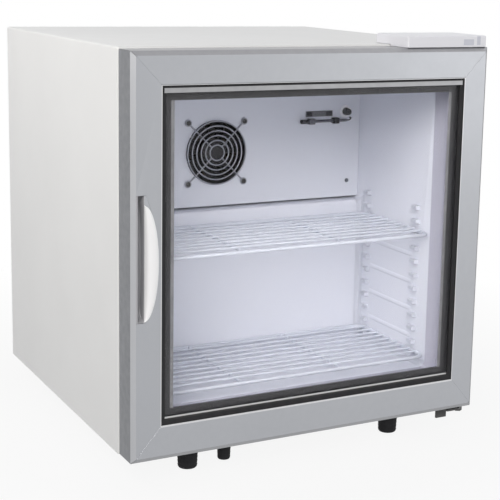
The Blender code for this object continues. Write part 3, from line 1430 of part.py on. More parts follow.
def make_shelf(name, peg):
    """Make one wire shelf: a rounded frame wire, two stays and the deck wires across it."""
    half_w = LINER_X - SHELF_SIDE_GAP - FRAME_WIRE_R
    front = BODY_FRONT_Y + SHELF_FRONT
    back = front + SHELF_D
    middle = (0.0, (front + back) / 2)
    z = peg_top(peg) + GAP + FRAME_WIRE_R
    outline = rounded_rectangle(half_w, SHELF_D / 2, SHELF_CORNER, 4, middle)
    pieces = [wire(f"{name}_frame", [(x, y, z) for x, y in outline], FRAME_WIRE_R, closed=True)]
    deck_z = z + FRAME_WIRE_R + DECK_WIRE_R * 0.4
    for index, x in enumerate((-half_w * 0.36, half_w * 0.36)):
        points = [(x, front, z), (x, back, z)]
        pieces.append(wire(f"{name}_stay_{index}", points, FRAME_WIRE_R * 0.8))
    count = int((SHELF_D - 2 * SHELF_CORNER) / DECK_PITCH) + 1
    first = middle[1] - (count - 1) * DECK_PITCH / 2
    for index in range(count):
        y = first + index * DECK_PITCH
        points = [(-half_w, y, deck_z), (half_w, y, deck_z)]
        pieces.append(wire(f"{name}_deck_{index}", points, DECK_WIRE_R))
    shelf = joined(name, pieces, WHITE_WIRE)
    smooth(shelf, 50.0)
    carry(f"{name}_runner", (0.0, middle[1], z), [shelf])
    return shelf


def build():
    """Build the whole cabinet."""
    make_outer_shell()
    make_base_plate()
    make_rear_panels()
    make_liner()
    make_foam()
    make_machine_shield()
    make_feet()
    door = make_door_frame() + make_corner_keys() + make_glazing() + make_door_seal() + make_bushes()
    door.append(make_handle())
    carry("door_axis", (PIVOT_X, PIVOT_Y, DOOR_MID), door)
    make_hinges()
    make_cooling_cover()
    make_fan_frame()
    make_fan_rotor()
    make_fan_guard()
    make_thermostat()
    make_sensor()
    evaporator_ends = make_evaporator()
    make_drip_tray()
    compressor_low = make_compressor()
    condenser_ends = make_condenser()
    make_pipes(compressor_low, condenser_ends, evaporator_ends)
    make_power_inlet()
    make_shelf("upper_shelf", UPPER_PEG)
    make_shelf("lower_shelf", LOWER_PEG)


build()
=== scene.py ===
"""Studio scene of a counter-top refrigerated display cabinet with a framed glass door.

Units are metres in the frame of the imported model: +Z up, and the door faces -Y.
"""
import logging
import math
from collections.abc import Callable, Iterable, Sequence
from dataclasses import dataclass
from enum import Enum
from functools import cache

import bmesh
import bpy
from mathutils import Matrix, Vector


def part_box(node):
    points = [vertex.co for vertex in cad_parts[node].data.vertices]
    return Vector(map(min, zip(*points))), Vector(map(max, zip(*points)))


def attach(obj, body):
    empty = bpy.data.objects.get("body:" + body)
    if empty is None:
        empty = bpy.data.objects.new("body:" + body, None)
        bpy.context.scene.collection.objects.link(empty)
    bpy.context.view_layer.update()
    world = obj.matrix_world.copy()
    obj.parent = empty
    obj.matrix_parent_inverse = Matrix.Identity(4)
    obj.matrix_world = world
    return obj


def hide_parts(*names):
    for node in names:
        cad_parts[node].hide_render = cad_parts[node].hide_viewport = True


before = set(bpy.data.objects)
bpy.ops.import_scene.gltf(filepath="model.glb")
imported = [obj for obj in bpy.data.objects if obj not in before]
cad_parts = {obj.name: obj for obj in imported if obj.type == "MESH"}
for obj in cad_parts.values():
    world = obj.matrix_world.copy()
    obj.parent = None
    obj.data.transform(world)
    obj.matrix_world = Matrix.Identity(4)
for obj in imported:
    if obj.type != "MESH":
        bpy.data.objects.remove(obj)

LOG = logging.getLogger("cabinet")
Point = tuple[float, float, float]
Flat = tuple[float, float]
Colour = tuple[float, float, float]
Thing = bpy.types.Object
Socket = bpy.types.NodeSocket
NodeTree = bpy.types.NodeTree


class Body(Enum):
    """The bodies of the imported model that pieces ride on."""

    CABINET = "cabinet"
    DOOR = "door"
    FAN = "fan"
    KNOB = "knob"
    UPPER_RACK = "upper_rack"
    LOWER_RACK = "lower_rack"


class Axis(Enum):
    """A direction that a turned piece stands along, as the turn that brings +Z to it."""

    X = ((0, 0, 1), (0, 1, 0), (-1, 0, 0))
    Y = ((1, 0, 0), (0, 0, 1), (0, -1, 0))
    Z = ((1, 0, 0), (0, 1, 0), (0, 0, 1))


class Facing(Enum):
    """A side that screw heads look to, as the turn that brings +Z to it."""

    FRONT = (math.pi / 2, 0.0, 0.0)
    BACK = (-math.pi / 2, 0.0, 0.0)


class TreeKind(Enum):
    """The two kinds of node tree that are built here."""

    SHADER = "ShaderNodeTree"
    GEOMETRY = "GeometryNodeTree"


def add(tree: NodeTree, kind: str, feeds: dict | None = None, out: int | str = 0,
        **settings: object) -> Socket:
    """Add a node, set its options and feed its inputs.

    Args:
        tree: The tree that gets the node.
        kind: The node's type.
        feeds: Each input's key with the socket or the value that feeds it.
        out: The key of the output that is wanted.
        settings: The node's own options.

    Returns:
        That output, or None where the node has none.
    """
    node = tree.nodes.new(kind)
    for key, value in settings.items():
        setattr(node, key, value)
    for key, value in (feeds or {}).items():
        if isinstance(value, Socket):
            tree.links.new(value, node.inputs[key])
        else:
            node.inputs[key].default_value = value
    return node.outputs[out] if len(node.outputs) else None


def put(shader: bpy.types.Node, values: dict[str, object]) -> None:
    """Write constants on a shader's own sockets."""
    for label, value in values.items():
        shader.inputs[label].default_value = value


def to_surface(tree: NodeTree, shader: Socket) -> None:
    """Lead a shader to the output of its material."""
    tree.links.new(shader, tree.nodes["Material Output"].inputs["Surface"])


class Tree:
    """A node tree under construction, with named inputs and outputs."""

    WORDS = {float: "Float", int: "Int", 3: "Vector", 4: "Color"}

    def __init__(self, name: str, kind: TreeKind, inputs: dict[str, object], outputs: dict[str, str]) -> None:
        """Open a tree.

        Args:
            name: The tree's name.
            kind: Whether it makes a surface or a shape.
            inputs: Each input's label with its value, or with the word for its type where it starts empty.
            outputs: Each output's label with the word for its type.
        """
        self.tree = bpy.data.node_groups.new(name, kind.value)
        self.keys: dict[str, str] = {}
        for label, value in inputs.items():
            empty = isinstance(value, str)
            word = value if empty else self.WORDS[len(value) if isinstance(value, tuple) else type(value)]
            socket = self.tree.interface.new_socket(label, in_out="INPUT", socket_type=f"NodeSocket{word}")
            if not empty:
                socket.default_value = value
            self.keys[label] = socket.identifier
        for label, word in outputs.items():
            self.tree.interface.new_socket(label, in_out="OUTPUT", socket_type=f"NodeSocket{word}")
        self.given = self.tree.nodes.new("NodeGroupInput").outputs
        self.result = self.tree.nodes.new("NodeGroupOutput").inputs

    def add(self, kind: str, feeds: dict | None = None, out: int | str = 0, **settings: object) -> Socket:
        """Add a node as the function of the same name does."""
        return add(self.tree, kind, feeds, out, **settings)

    def math(self, operation: str, *values: Socket | float) -> Socket:
        """Add a step of arithmetic and return its result."""
        return self.add("ShaderNodeMath", dict(enumerate(values)), operation=operation)

    def give(self, label: str, socket: Socket) -> None:
        """Lead a socket to an output of the tree."""
        self.tree.links.new(socket, self.result[label])


# Shader effects that the finishes share

FINE_SCALE, CONTRAST = 7.0, 4.0


@cache
def patch_group() -> NodeTree:
    """Return the effect that varies a colour and its gloss in soft patches."""
    made = Tree("soft_patches", TreeKind.SHADER, {
        "Colour": (0.8, 0.8, 0.8, 1.0), "Roughness": 0.4, "Spread": 0.03, "Gloss Spread": 0.1, "Scale": 9.0},
        {"Colour": "Color", "Roughness": "Float"})
    given = made.given
    where = made.add("ShaderNodeTexCoord", out="Object")
    broad = made.add("ShaderNodeTexNoise", {"Vector": where, "Scale": given["Scale"], "Detail": 3.0})
    fine_scale = made.math("MULTIPLY", given["Scale"], FINE_SCALE)
    fine = made.add("ShaderNodeTexNoise", {"Vector": where, "Scale": fine_scale, "Detail": 4.0})
    for label, noise, spread in (("Colour", broad, "Spread"), ("Roughness", fine, "Gloss Spread")):
        wide = made.math("MULTIPLY", made.math("SUBTRACT", noise, 0.5), CONTRAST)
        factor = made.math("MULTIPLY_ADD", wide, given[spread], 1.0)
        scaled = made.add("ShaderNodeVectorMath", {0: given[label], 3: factor}, operation="SCALE")
        made.give(label, scaled if label == "Colour" else made.add("ShaderNodeSeparateXYZ", {0: scaled}))
    return made.tree


@cache
def relief_group() -> NodeTree:
    """Return the effect that gives the height of a fine grain, drawn out along an axis."""
    made = Tree("fine_relief", TreeKind.SHADER, {"Scale": 600.0, "Detail": 2.0, "Stretch": (1.0, 1.0, 1.0)},
                {"Height": "Float"})
    where = made.add("ShaderNodeTexCoord", out="Object")
    drawn = made.add("ShaderNodeVectorMath", {0: where, 1: made.given["Stretch"]}, operation="MULTIPLY")
    made.give("Height", made.add("ShaderNodeTexNoise", {
        "Vector": drawn, "Scale": made.given["Scale"], "Detail": made.given["Detail"]}))
    return made.tree


def veil_group(name: str, shade: tuple[float, ...], amount: float, source: Callable[[Tree], Socket],
               span: Flat, grain: Flat) -> NodeTree:
    """Return an effect that lays a second colour through a mask that is broken up by a noise.

    Args:
        name: The group's name.
        shade: The second colour.
        amount: The share of it at its thickest.
        source: What adds the value that the mask is made from.
        span: Where on that value the mask starts and is full.
        grain: The scale and the detail of the noise.

    Returns:
        The group.
    """
    made = Tree(name, TreeKind.SHADER, {
        "Colour": (0.8, 0.8, 0.8, 1.0), "Second Colour": shade, "Amount": amount, "Scale": grain[0]},
        {"Colour": "Color"})
    given = made.given
    where = made.add("ShaderNodeTexCoord", out="Object")
    spread = made.add("ShaderNodeMapRange", {0: source(made), 1: span[0], 2: span[1], 3: 0.0, 4: 1.0})
    noise = made.add("ShaderNodeTexNoise", {"Vector": where, "Scale": given["Scale"], "Detail": grain[1]})
    mask = made.math("MULTIPLY", made.math("MULTIPLY", spread, noise), given["Amount"])
    made.give("Colour", made.add("ShaderNodeMix", {0: mask, 6: given["Colour"], 7: given["Second Colour"]}, 2,
                                 data_type="RGBA"))
    return made.tree


@cache
def dust_group() -> NodeTree:
    """Return the effect that lays a thin dust on the faces that look up."""
    return veil_group("settled_dust", (0.5, 0.48, 0.45, 1.0), 0.2, lambda made: made.add(
        "ShaderNodeSeparateXYZ", {0: made.add("ShaderNodeNewGeometry", out="Normal")}, 2),
        (0.4, 1.0), (40.0, 6.0))


@cache
def wear_group() -> NodeTree:
    """Return the effect that rubs the edges of a piece."""
    return veil_group("rubbed_edges", (0.9, 0.9, 0.9, 1.0), 0.3, lambda made: made.add(
        "ShaderNodeNewGeometry", out="Pointiness"), (0.51, 0.60), (120.0, 5.0))


# Finishes

@dataclass(frozen=True)
class Finish:
    """A finish with soft patches, a fine relief, settled dust and rubbed edges."""

    name: str = "plain finish"
    colour: Colour = (0.8, 0.8, 0.8)
    roughness: float = 0.4
    metallic: float = 0.0
    patches: float = 0.02
    patch_scale: float = 9.0
    gloss_spread: float = 0.08
    relief_scale: float = 700.0
    relief: float = 0.12
    relief_depth: float = 0.0001
    stretch: Point = (1.0, 1.0, 1.0)
    dust: float = 0.0
    wear: float = 0.0
    worn: Colour = (0.9, 0.9, 0.9)
    specular: float = 0.5
    coat: float = 0.0
    slot: str = "black_rubber"

    @cache
    def material(self) -> bpy.types.Material:
        """Return the node material of this finish, which is made once."""
        made = bpy.data.materials.new(self.name)
        made.use_nodes = True
        made.diffuse_color = (*self.colour, 1.0)
        self.dress(made.node_tree, made.node_tree.nodes["Principled BSDF"])
        return made

    def dress(self, tree: NodeTree, shader: bpy.types.Node) -> None:
        """Lead the shared effects into the shader.

        Args:
            tree: The material's tree.
            shader: Its Principled node.
        """
        patch = add(tree, "ShaderNodeGroup", {
            "Colour": (*self.colour, 1.0), "Roughness": self.roughness, "Spread": self.patches,
            "Gloss Spread": self.gloss_spread, "Scale": self.patch_scale},
            node_tree=patch_group()).node.outputs
        colour = patch["Colour"]
        if self.wear:
            colour = add(tree, "ShaderNodeGroup", {"Colour": colour, "Second Colour": (*self.worn, 1.0),
                                                   "Amount": self.wear}, node_tree=wear_group())
        if self.dust:
            colour = add(tree, "ShaderNodeGroup", {"Colour": colour, "Amount": self.dust},
                         node_tree=dust_group())
        height = add(tree, "ShaderNodeGroup", {"Scale": self.relief_scale, "Stretch": self.stretch},
                     node_tree=relief_group())
        bump = add(tree, "ShaderNodeBump", {"Strength": self.relief, "Distance": self.relief_depth,
                                            "Height": height})
        for label, socket in (("Base Color", colour), ("Roughness", patch["Roughness"]), ("Normal", bump)):
            tree.links.new(socket, shader.inputs[label])
        put(shader, {"Metallic": self.metallic, "Specular IOR Level": self.specular,
                     "Coat Weight": self.coat})


@dataclass(frozen=True)
class Paint(Finish):
    """A sprayed paint with the dimples of orange peel."""

    roughness: float = 0.34
    relief_scale: float = 260.0
    relief: float = 0.10
    relief_depth: float = 0.0003
    dust: float = 0.06
    slot: str = "white_steel"


@dataclass(frozen=True)
class Moulding(Finish):
    """A moulded plastic with a faint grain."""

    roughness: float = 0.38
    relief_scale: float = 900.0
    relief: float = 0.08
    slot: str = "white_plastic"


@dataclass(frozen=True)
class Rubber(Finish):
    """A matt rubber with a dusty skin."""

    roughness: float = 0.78
    relief_scale: float = 1400.0
    relief: float = 0.35
    dust: float = 0.12
    specular: float = 0.3


@dataclass(frozen=True)
class Extrusion(Finish):
    """A satin anodised profile, drawn along its length."""

    colour: Colour = (0.41, 0.42, 0.445)
    roughness: float = 0.33
    metallic: float = 1.0
    patches: float = 0.02
    patch_scale: float = 5.0
    relief_scale: float = 1500.0
    relief: float = 0.06
    stretch: Point = (0.02, 1.0, 1.0)
    wear: float = 0.25
    worn: Colour = (0.72, 0.73, 0.75)
    slot: str = "anodised_aluminium"


@dataclass(frozen=True)
class Metal(Finish):
    """A bare or plated metal with a fine rolled grain."""

    metallic: float = 1.0
    roughness: float = 0.3
    patches: float = 0.06
    patch_scale: float = 30.0
    relief_scale: float = 900.0
    relief: float = 0.14
    dust: float = 0.05
    slot: str = "zinc_steel"


@dataclass(frozen=True)
class Glazing(Finish):
    """Clear float glass that lets the light of the studio through."""

    colour: Colour = (0.985, 0.985, 0.99)
    roughness: float = 0.0
    ior: float = 1.12
    haze_scale: float = 14.0
    haze: Flat = (0.35, 0.9)
    film: float = 0.03

    def dress(self, tree: NodeTree, shader: bpy.types.Node) -> None:
        """Make the pane clear, and let shadow rays pass.

        Args:
            tree: The material's tree.
            shader: Its Principled node.
        """
        put(shader, {"Base Color": (*self.colour, 1.0), "Transmission Weight": 1.0, "IOR": self.ior})
        where = add(tree, "ShaderNodeTexCoord", out="Object")
        haze = add(tree, "ShaderNodeTexNoise", {"Vector": where, "Scale": self.haze_scale, "Detail": 5.0})
        film = add(tree, "ShaderNodeMapRange", {0: haze, 1: self.haze[0], 2: self.haze[1], 3: 0.0,
                                                4: self.film})
        tree.links.new(film, shader.inputs["Roughness"])
        shadow = add(tree, "ShaderNodeLightPath", out="Is Shadow Ray")
        clear = add(tree, "ShaderNodeBsdfTransparent")
        to_surface(tree, add(tree, "ShaderNodeMixShader", {0: shadow, 1: shader.outputs[0], 2: clear}))


UPRIGHT = (1.0, 1.0, 0.02)
WHITE_PAINT = Paint("satin white paint", (0.79, 0.79, 0.785))
BLACK_PAINT = Paint("satin black paint", (0.028, 0.028, 0.03), 0.42, wear=0.5, worn=(0.35, 0.34, 0.33),
                    dust=0.15, slot="black_steel")
LINER = Moulding("white vacuum-formed liner", (0.735, 0.755, 0.83), 0.40, patches=0.012,
                 slot="liner_plastic")
# The cover's own moulding colour, set darker than the liner partly as painted shade
COIL_COVER_SHADE = Moulding("cover of the evaporator", (0.685, 0.705, 0.775), 0.40, patches=0.012,
                      slot="liner_plastic")
# A darker copy of the liner's colour, as painted shade on the pegs and on the ribs' undersides
PEG_AND_UNDERSIDE_SHADE = Moulding("liner darkened as painted shade on pegs and rib undersides", (0.60, 0.62, 0.69), 0.5)
THROAT = Moulding("grey mouth of the liner", (0.42, 0.42, 0.50), 0.45, patches=0.012)
GLOSS_WHITE = Moulding("glossy white moulding", (0.95, 0.95, 0.96), 0.16, coat=0.8, relief=0.04)
# The groove lining's grey: partly the slot's own grey, partly painted shade of the deep groove
GRIP_GREY_AND_SHADE = Moulding("grey lining of the grip, partly painted shade", (0.44, 0.44, 0.46), 0.5)
COVER_WHITE = Moulding("satin white moulding", (0.83, 0.83, 0.87), 0.35)
# Grey patches as painted shade, where the hinge cover has recesses
RECESS_SHADE_GREY = Moulding("grey patches as painted shade of recesses", (0.64, 0.65, 0.72), 0.45)
BLACK_MOULDING = Moulding("black moulding", (0.014, 0.014, 0.018), 0.40, dust=0.06, relief=0.2,
                          slot="black_plastic")
SCALE_GREY = Moulding("grey scale plate", (0.17, 0.17, 0.19), 0.45, slot="black_plastic")
COATED_WIRE = Moulding("white coated wire", (0.60, 0.63, 0.71), 0.34, coat=0.1, slot="coated_wire")
BLACK_RUBBER = Rubber("black rubber", (0.022, 0.022, 0.024))
GREY_RUBBER = Rubber("grey magnetic seal", (0.55, 0.56, 0.58), 0.65, dust=0.05, slot="grey_rubber")
BLACK_PRINT = Finish("black edge seal", (0.02, 0.02, 0.023), 0.5)
ALUMINIUM_UP = Extrusion("anodised profile, upright grain", stretch=UPRIGHT)
ALUMINIUM_ACROSS = Extrusion("anodised profile, level grain")
# Darker and lighter copies of the anodised profile for the faces that turn aside: painted shade on the
# flanks, head and sill, and a painted highlight on the left bevel, standing in for what the metal reflects
ALUMINIUM_FLANK_SHADE = Extrusion("anodised flank, painted shade", (0.165, 0.17, 0.183), 0.42, stretch=UPRIGHT)
ALUMINIUM_HEAD_SHADE = Extrusion("anodised head, painted shade", (0.30, 0.30, 0.315), 0.42)
ALUMINIUM_BEVEL_HIGHLIGHT = Extrusion("anodised bevel, painted highlight", (0.44, 0.445, 0.463), 0.38, stretch=UPRIGHT)
ALUMINIUM_SILL_SHADE = Extrusion("anodised sill, painted shade", (0.31, 0.315, 0.33), 0.42)
# A painted highlight: a pale strip for the light that the frame's inner lip catches
INNER_EDGE_HIGHLIGHT = Extrusion("painted highlight on the profile's inner edge", (0.68, 0.68, 0.69), 0.30)
# One glazing strip in two copies: a darker one as painted shade at the head, and a lighter one as painted
# light at the foot
UPPER_STRIP_SHADE = Extrusion("upper glazing strip, painted shade", (0.30, 0.30, 0.31), 0.38)
LOWER_STRIP_LIT = Extrusion("lower glazing strip, painted light", (0.55, 0.55, 0.55), 0.35)
SPACER_GREY = Extrusion("spacer bar", (0.08, 0.08, 0.088), 0.42, metallic=0.4, stretch=(0.1, 1.0, 0.1),
                        slot="spacer_metal")
ZINC = Metal("zinc plate", (0.56, 0.57, 0.58), 0.36)
TINNED = Metal("tinned bulb", (0.15, 0.15, 0.17), 0.42)
PLATED = Metal("bright plated wire", (0.36, 0.37, 0.41), 0.30, slot="plated_wire")
COPPER = Metal("drawn copper", (0.66, 0.32, 0.19), 0.28, patches=0.15, slot="copper")
DULL_COPPER = Metal("dulled copper", (0.13, 0.10, 0.085), 0.5, patches=0.15, slot="copper")
MILL_ALUMINIUM = Metal("mill aluminium", (0.70, 0.71, 0.72), 0.34, slot="bare_aluminium")
FOAM = Finish("blown foam", (0.72, 0.60, 0.34), 0.9, relief_scale=500.0, relief=0.6, relief_depth=0.0006,
              patches=0.1)
GLASS = Glazing("clear float glass")


# Mesh making

def arch(away: float, least: float = 0.0) -> float:
    """Return the height of a round arch of height one at a share of its reach."""
    return max(math.sqrt(max(1 - away * away, 0.0)), least)


def object_from(name: str, bm: bmesh.types.BMesh) -> Thing:
    """Turn a bmesh into an object of the scene.

    Args:
        name: The piece's name.
        bm: Its closed mesh, which is freed.

    Returns:
        The new object, with its faces outwards.
    """
    bmesh.ops.recalc_face_normals(bm, faces=bm.faces)
    mesh = bpy.data.meshes.new(name)
    bm.to_mesh(mesh)
    bm.free()
    piece = bpy.data.objects.new(name, mesh)
    bpy.context.scene.collection.objects.link(piece)
    return piece


def baked(piece: Thing) -> bpy.types.Mesh:
    """Turn the modifiers of a piece into its plain mesh, and return this mesh."""
    bpy.context.view_layer.update()
    mesh = bpy.data.meshes.new_from_object(piece.evaluated_get(bpy.context.evaluated_depsgraph_get()))
    piece.modifiers.clear()
    piece.data = mesh
    return mesh


def skin(bm: bmesh.types.BMesh, rings: Sequence[Sequence[bmesh.types.BMVert]]) -> None:
    """Join closed rings one after the other, where a ring of one point is a pole.

    Args:
        bm: The mesh that gets the faces.
        rings: The rings in order.
    """
    for first, second in zip(rings, rings[1:]):
        count = max(len(first), len(second))
        for spot in range(count):
            follow = (spot + 1) % count
            if len(first) == 1:
                bm.faces.new((first[0], second[follow], second[spot]))
            elif len(second) == 1:
                bm.faces.new((first[spot], first[follow], second[0]))
            else:
                bm.faces.new((first[spot], first[follow], second[follow], second[spot]))


def turned(name: str, profile: Sequence[Flat], centre: Point, axis: Axis = Axis.Z, steps: int = 64) -> Thing:
    """Turn a profile round an axis.

    Args:
        name: The piece's name.
        profile: Pairs of radius and height, from one pole to the other.
        centre: The point of height zero on the axis.
        axis: The axis.
        steps: The number of faces round it.

    Returns:
        The turned object.
    """
    turn, middle = Matrix(axis.value), Vector(centre)
    bm = bmesh.new()
    rings = []
    for radius, height in profile:
        angles = [2 * math.pi * step / steps for step in range(1 if radius < 1e-7 else steps)]
        rings.append([bm.verts.new(
            turn @ Vector((radius * math.cos(angle), radius * math.sin(angle), height)) + middle)
            for angle in angles])
    skin(bm, rings)
    return object_from(name, bm)


def lofted(name: str, sections: Sequence[Sequence[Point]]) -> Thing:
    """Loft closed sections into a solid with flat ends.

    Args:
        name: The piece's name.
        sections: The closed sections in order, each with as many points.

    Returns:
        The solid.
    """
    bm = bmesh.new()
    rings = [[bm.verts.new(point) for point in section] for section in sections]
    skin(bm, rings)
    bm.faces.new(rings[0])
    bm.faces.new(rings[-1])
    return object_from(name, bm)


def block(name: str, low: Point, high: Point, soft: float = 0.0) -> Thing:
    """Make a block with rounded edges.

    Args:
        name: The piece's name.
        low: Its lowest corner.
        high: Its highest corner.
        soft: The radius of its edges.

    Returns:
        The block.
    """
    bm = bmesh.new()
    size = Vector(high) - Vector(low)
    made = bmesh.ops.create_cube(bm, size=1.0)["verts"]
    bmesh.ops.scale(bm, vec=size, verts=made)
    bmesh.ops.translate(bm, vec=(Vector(high) + Vector(low)) / 2, verts=made)
    if soft:
        bmesh.ops.bevel(bm, geom=bm.edges[:], offset=min(soft, min(size) * 0.45), segments=3, profile=0.6,
                        affect="EDGES", clamp_overlap=True)
    return object_from(name, bm)


def framed(name: str, rows: Sequence[tuple[tuple[Flat, Flat], float]]) -> Thing:
    """Make a mitred frame that stands upright.

    Args:
        name: The piece's name.
        rows: The points of its section in order, each as the two corners, in X and Z, and the Y.

    Returns:
        The frame.
    """
    bm = bmesh.new()
    loops = [[bm.verts.new((x, y, z)) for x, z in (low, (high[0], low[1]), high, (low[0], high[1]))]
             for (low, high), y in rows]
    skin(bm, [*loops, loops[0]])
    return object_from(name, bm)


def window(name: str, outer: tuple[Flat, Flat], inner: tuple[Flat, Flat], front: float, back: float) -> Thing:
    """Make a frame of plain section from its outer and inner corners and the Y of its faces."""
    return framed(name, ((outer, front), (inner, front), (inner, back), (outer, back)))


def joined(name: str, pieces: Sequence[Thing]) -> Thing:
    """Join pieces into one mesh.

    Args:
        name: The new piece's name.
        pieces: The pieces, which are removed.

    Returns:
        The joined piece.
    """
    bm = bmesh.new()
    for piece in pieces:
        bm.from_mesh(piece.data)
        bpy.data.objects.remove(piece, do_unlink=True)
    return object_from(name, bm)


def path_piece(name: str, runs: Iterable[tuple[Sequence[Point], bool]]) -> Thing:
    """Make a mesh of bare edges for the wire tree.

    Args:
        name: The piece's name.
        runs: Each run's points, and whether it closes on itself.

    Returns:
        The piece.
    """
    bm = bmesh.new()
    for points, closed in runs:
        verts = [bm.verts.new(point) for point in points]
        for pair in [*zip(verts, verts[1:])] + ([(verts[-1], verts[0])] if closed else []):
            bm.edges.new(pair)
    return object_from(name, bm)


MERGED, LEVEL = 2e-6, math.radians(0.6)


def copied(node: str, name: str, edge: float = 0.0, segments: int = 2, sharp: float = 30.0) -> Thing:
    """Copy a solid of the model, merge its loose triangles and round its edges.

    Args:
        node: The solid's name.
        name: The new piece's name.
        edge: The radius of its edges.
        segments: The faces across each rounded edge.
        sharp: The least angle in degrees of an edge that is rounded.

    Returns:
        The copy.
    """
    bm = bmesh.new()
    bm.from_mesh(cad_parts[node].data)
    bmesh.ops.remove_doubles(bm, verts=bm.verts, dist=MERGED)
    bmesh.ops.dissolve_limit(bm, angle_limit=LEVEL, verts=bm.verts, edges=bm.edges)
    if edge:
        least = math.radians(sharp)
        picked = [e for e in bm.edges if len(e.link_faces) == 2 and e.calc_face_angle(0.0) > least]
        bmesh.ops.bevel(bm, geom=picked, offset=edge, segments=segments, profile=0.5, affect="EDGES",
                        clamp_overlap=True, miter_outer="ARC")
    bmesh.ops.triangulate(bm, faces=[f for f in bm.faces if len(f.verts) > 4])
    return object_from(name, bm)


def fitted(piece: Thing, body: Body, finish: Finish, *nodes: str, slot: str = "",
           smooth: float = 32.0) -> Thing:
    """Dress a piece, hang it on its body and hide the solids that it stands for.

    Args:
        piece: The piece.
        body: The body that it rides on.
        finish: Its finish.
        nodes: The solids that it replaces.
        slot: Not used.
        smooth: The angle in degrees under which edges look round.

    Returns:
        The same piece.
    """
    piece.data.materials.clear()
    piece.data.materials.append(finish.material())
    piece.data.shade_smooth()
    piece.data.set_sharp_from_angle(angle=math.radians(smooth))
    piece.modifiers.new("even normals", "WEIGHTED_NORMAL").keep_sharp = True
    baked(piece)
    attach(piece, body.value)
    slot or finish.slot
    if nodes:
        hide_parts(*nodes)
    LOG.info("%s: %d faces, on %s", piece.name, len(piece.data.polygons), body.value)
    return piece


def recast(node: str, name: str, finish: Finish, edge: float = 0.0003, body: Body = Body.CABINET,
           slot: str = "", smooth: float = 32.0) -> Thing:
    """Put a copy with rounded edges in a solid's place, as the two functions above do."""
    return fitted(copied(node, name, edge), body, finish, node, slot=slot, smooth=smooth)


def ribbed(node: str, pitch: float = 0.005) -> None:
    """Turn a ribbed rubber stand that replaces a round upright solid of the cabinet.

    Args:
        node: The solid's name.
        pitch: The distance between its ribs.
    """
    low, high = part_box(node)
    radius = (high.x - low.x) / 2
    ribs = max(round((high.z - low.z) / pitch), 3)
    rows = [(0.0, low.z), (radius * 0.80, low.z), (radius * 0.87, low.z + 0.0012)]
    for rib in range(ribs):
        z = low.z + 0.003 + (high.z - low.z - 0.006) * rib / (ribs - 1)
        flare = radius * (0.88 + 0.10 * rib / (ribs - 1))
        rows += [(flare, z - 0.0008), (flare + radius * 0.02, z), (flare, z + 0.0008)]
    rows += [(radius, high.z - 0.0016), (radius, high.z), (0.0, high.z)]
    fitted(turned(f"ribbed_{node}", rows, ((low.x + high.x) / 2, (low.y + high.y) / 2, 0.0), steps=48),
           Body.CABINET, BLACK_RUBBER, node)


def faced(piece: Thing, finish: Finish, picks: Callable[[Vector, Vector], bool]) -> None:
    """Give some faces of a dressed piece a finish of their own.

    Args:
        piece: The piece.
        finish: The finish of these faces.
        picks: Whether a face gets it, by its centre and its normal.
    """
    piece.data.materials.append(finish.material())
    last = len(piece.data.materials) - 1
    for face in piece.data.polygons:
        if picks(face.center, face.normal):
            face.material_index = last


# Shapes that repeat, made by Geometry Nodes

class ShapeTree(Tree):
    """A tree that leads a mesh and a material to a dressed mesh."""

    def __init__(self, name: str, inputs: dict[str, object]) -> None:
        """Open a tree with these inputs besides the mesh and the material."""
        super().__init__(name, TreeKind.GEOMETRY, {"Geometry": "Geometry", **inputs, "Material": "Material"},
                         {"Geometry": "Geometry"})

    def points(self, start: Socket, step: Socket | Point) -> Socket:
        """Add as many points as the tree's count says, from a start and a step."""
        return self.add("GeometryNodeMeshLine", {"Count": self.given["Count"], "Start Location": start,
                                                 "Offset": step}, mode="OFFSET")

    def copies(self, points: Socket, piece: Socket, feeds: dict | None = None) -> Socket:
        """Set a piece on every point, with what else feeds that node."""
        return self.add("GeometryNodeInstanceOnPoints", {0: points, "Instance": piece, **(feeds or {})})

    def realized(self, shape: Socket) -> Socket:
        """Make the copies real."""
        return self.add("GeometryNodeRealizeInstances", {0: shape})

    def dressed(self, shape: Socket) -> "ShapeTree":
        """Make the shape real, set its material, lead it out and return the tree."""
        self.give("Geometry", self.add("GeometryNodeSetMaterial", {
            0: self.realized(shape), "Material": self.given["Material"]}))
        return self


def wire_tree() -> ShapeTree:
    """Return the tree that turns edges into round wire with rounded bends."""
    made = ShapeTree("round_wire", {"Radius": 0.001, "Bend": 0.004, "Bend Steps": 6, "Sides": 12})
    given = made.given
    path = made.add("GeometryNodeMeshToCurve", {0: given["Geometry"]})
    bent = made.add("GeometryNodeFilletCurve", {
        0: path, "Count": given["Bend Steps"], "Radius": given["Bend"], "Limit Radius": True}, mode="POLY")
    ring = made.add("GeometryNodeCurvePrimitiveCircle", {
        "Resolution": given["Sides"], "Radius": given["Radius"]})
    return made.dressed(made.add("GeometryNodeCurveToMesh", {0: bent, 1: ring, "Fill Caps": True}))


def row_tree() -> ShapeTree:
    """Return the tree that repeats a piece along a line."""
    made = ShapeTree("straight_row", {"Count": 2, "Step": (0.01, 0.0, 0.0), "Start": (0.0, 0.0, 0.0)})
    given = made.given
    return made.dressed(made.copies(made.points(given["Start"], given["Step"]), given["Geometry"]))


def turn_tree() -> ShapeTree:
    """Return the tree that repeats a piece round an axis through the centre."""
    made = ShapeTree("round_row", {"Count": 7, "First": 0.0, "Axis": (0.0, 1.0, 0.0),
                                   "Centre": (0.0, 0.0, 0.0)})
    given = made.given
    share = made.math("DIVIDE", 2 * math.pi, given["Count"])
    angle = made.math("MULTIPLY_ADD", made.add("GeometryNodeInputIndex"), share, given["First"])
    turn = made.add("FunctionNodeAxisAngleToRotation", {0: given["Axis"], 1: angle})
    return made.dressed(made.copies(made.points(given["Centre"], (0.0, 0.0, 0.0)), given["Geometry"],
                                    {"Rotation": turn}))


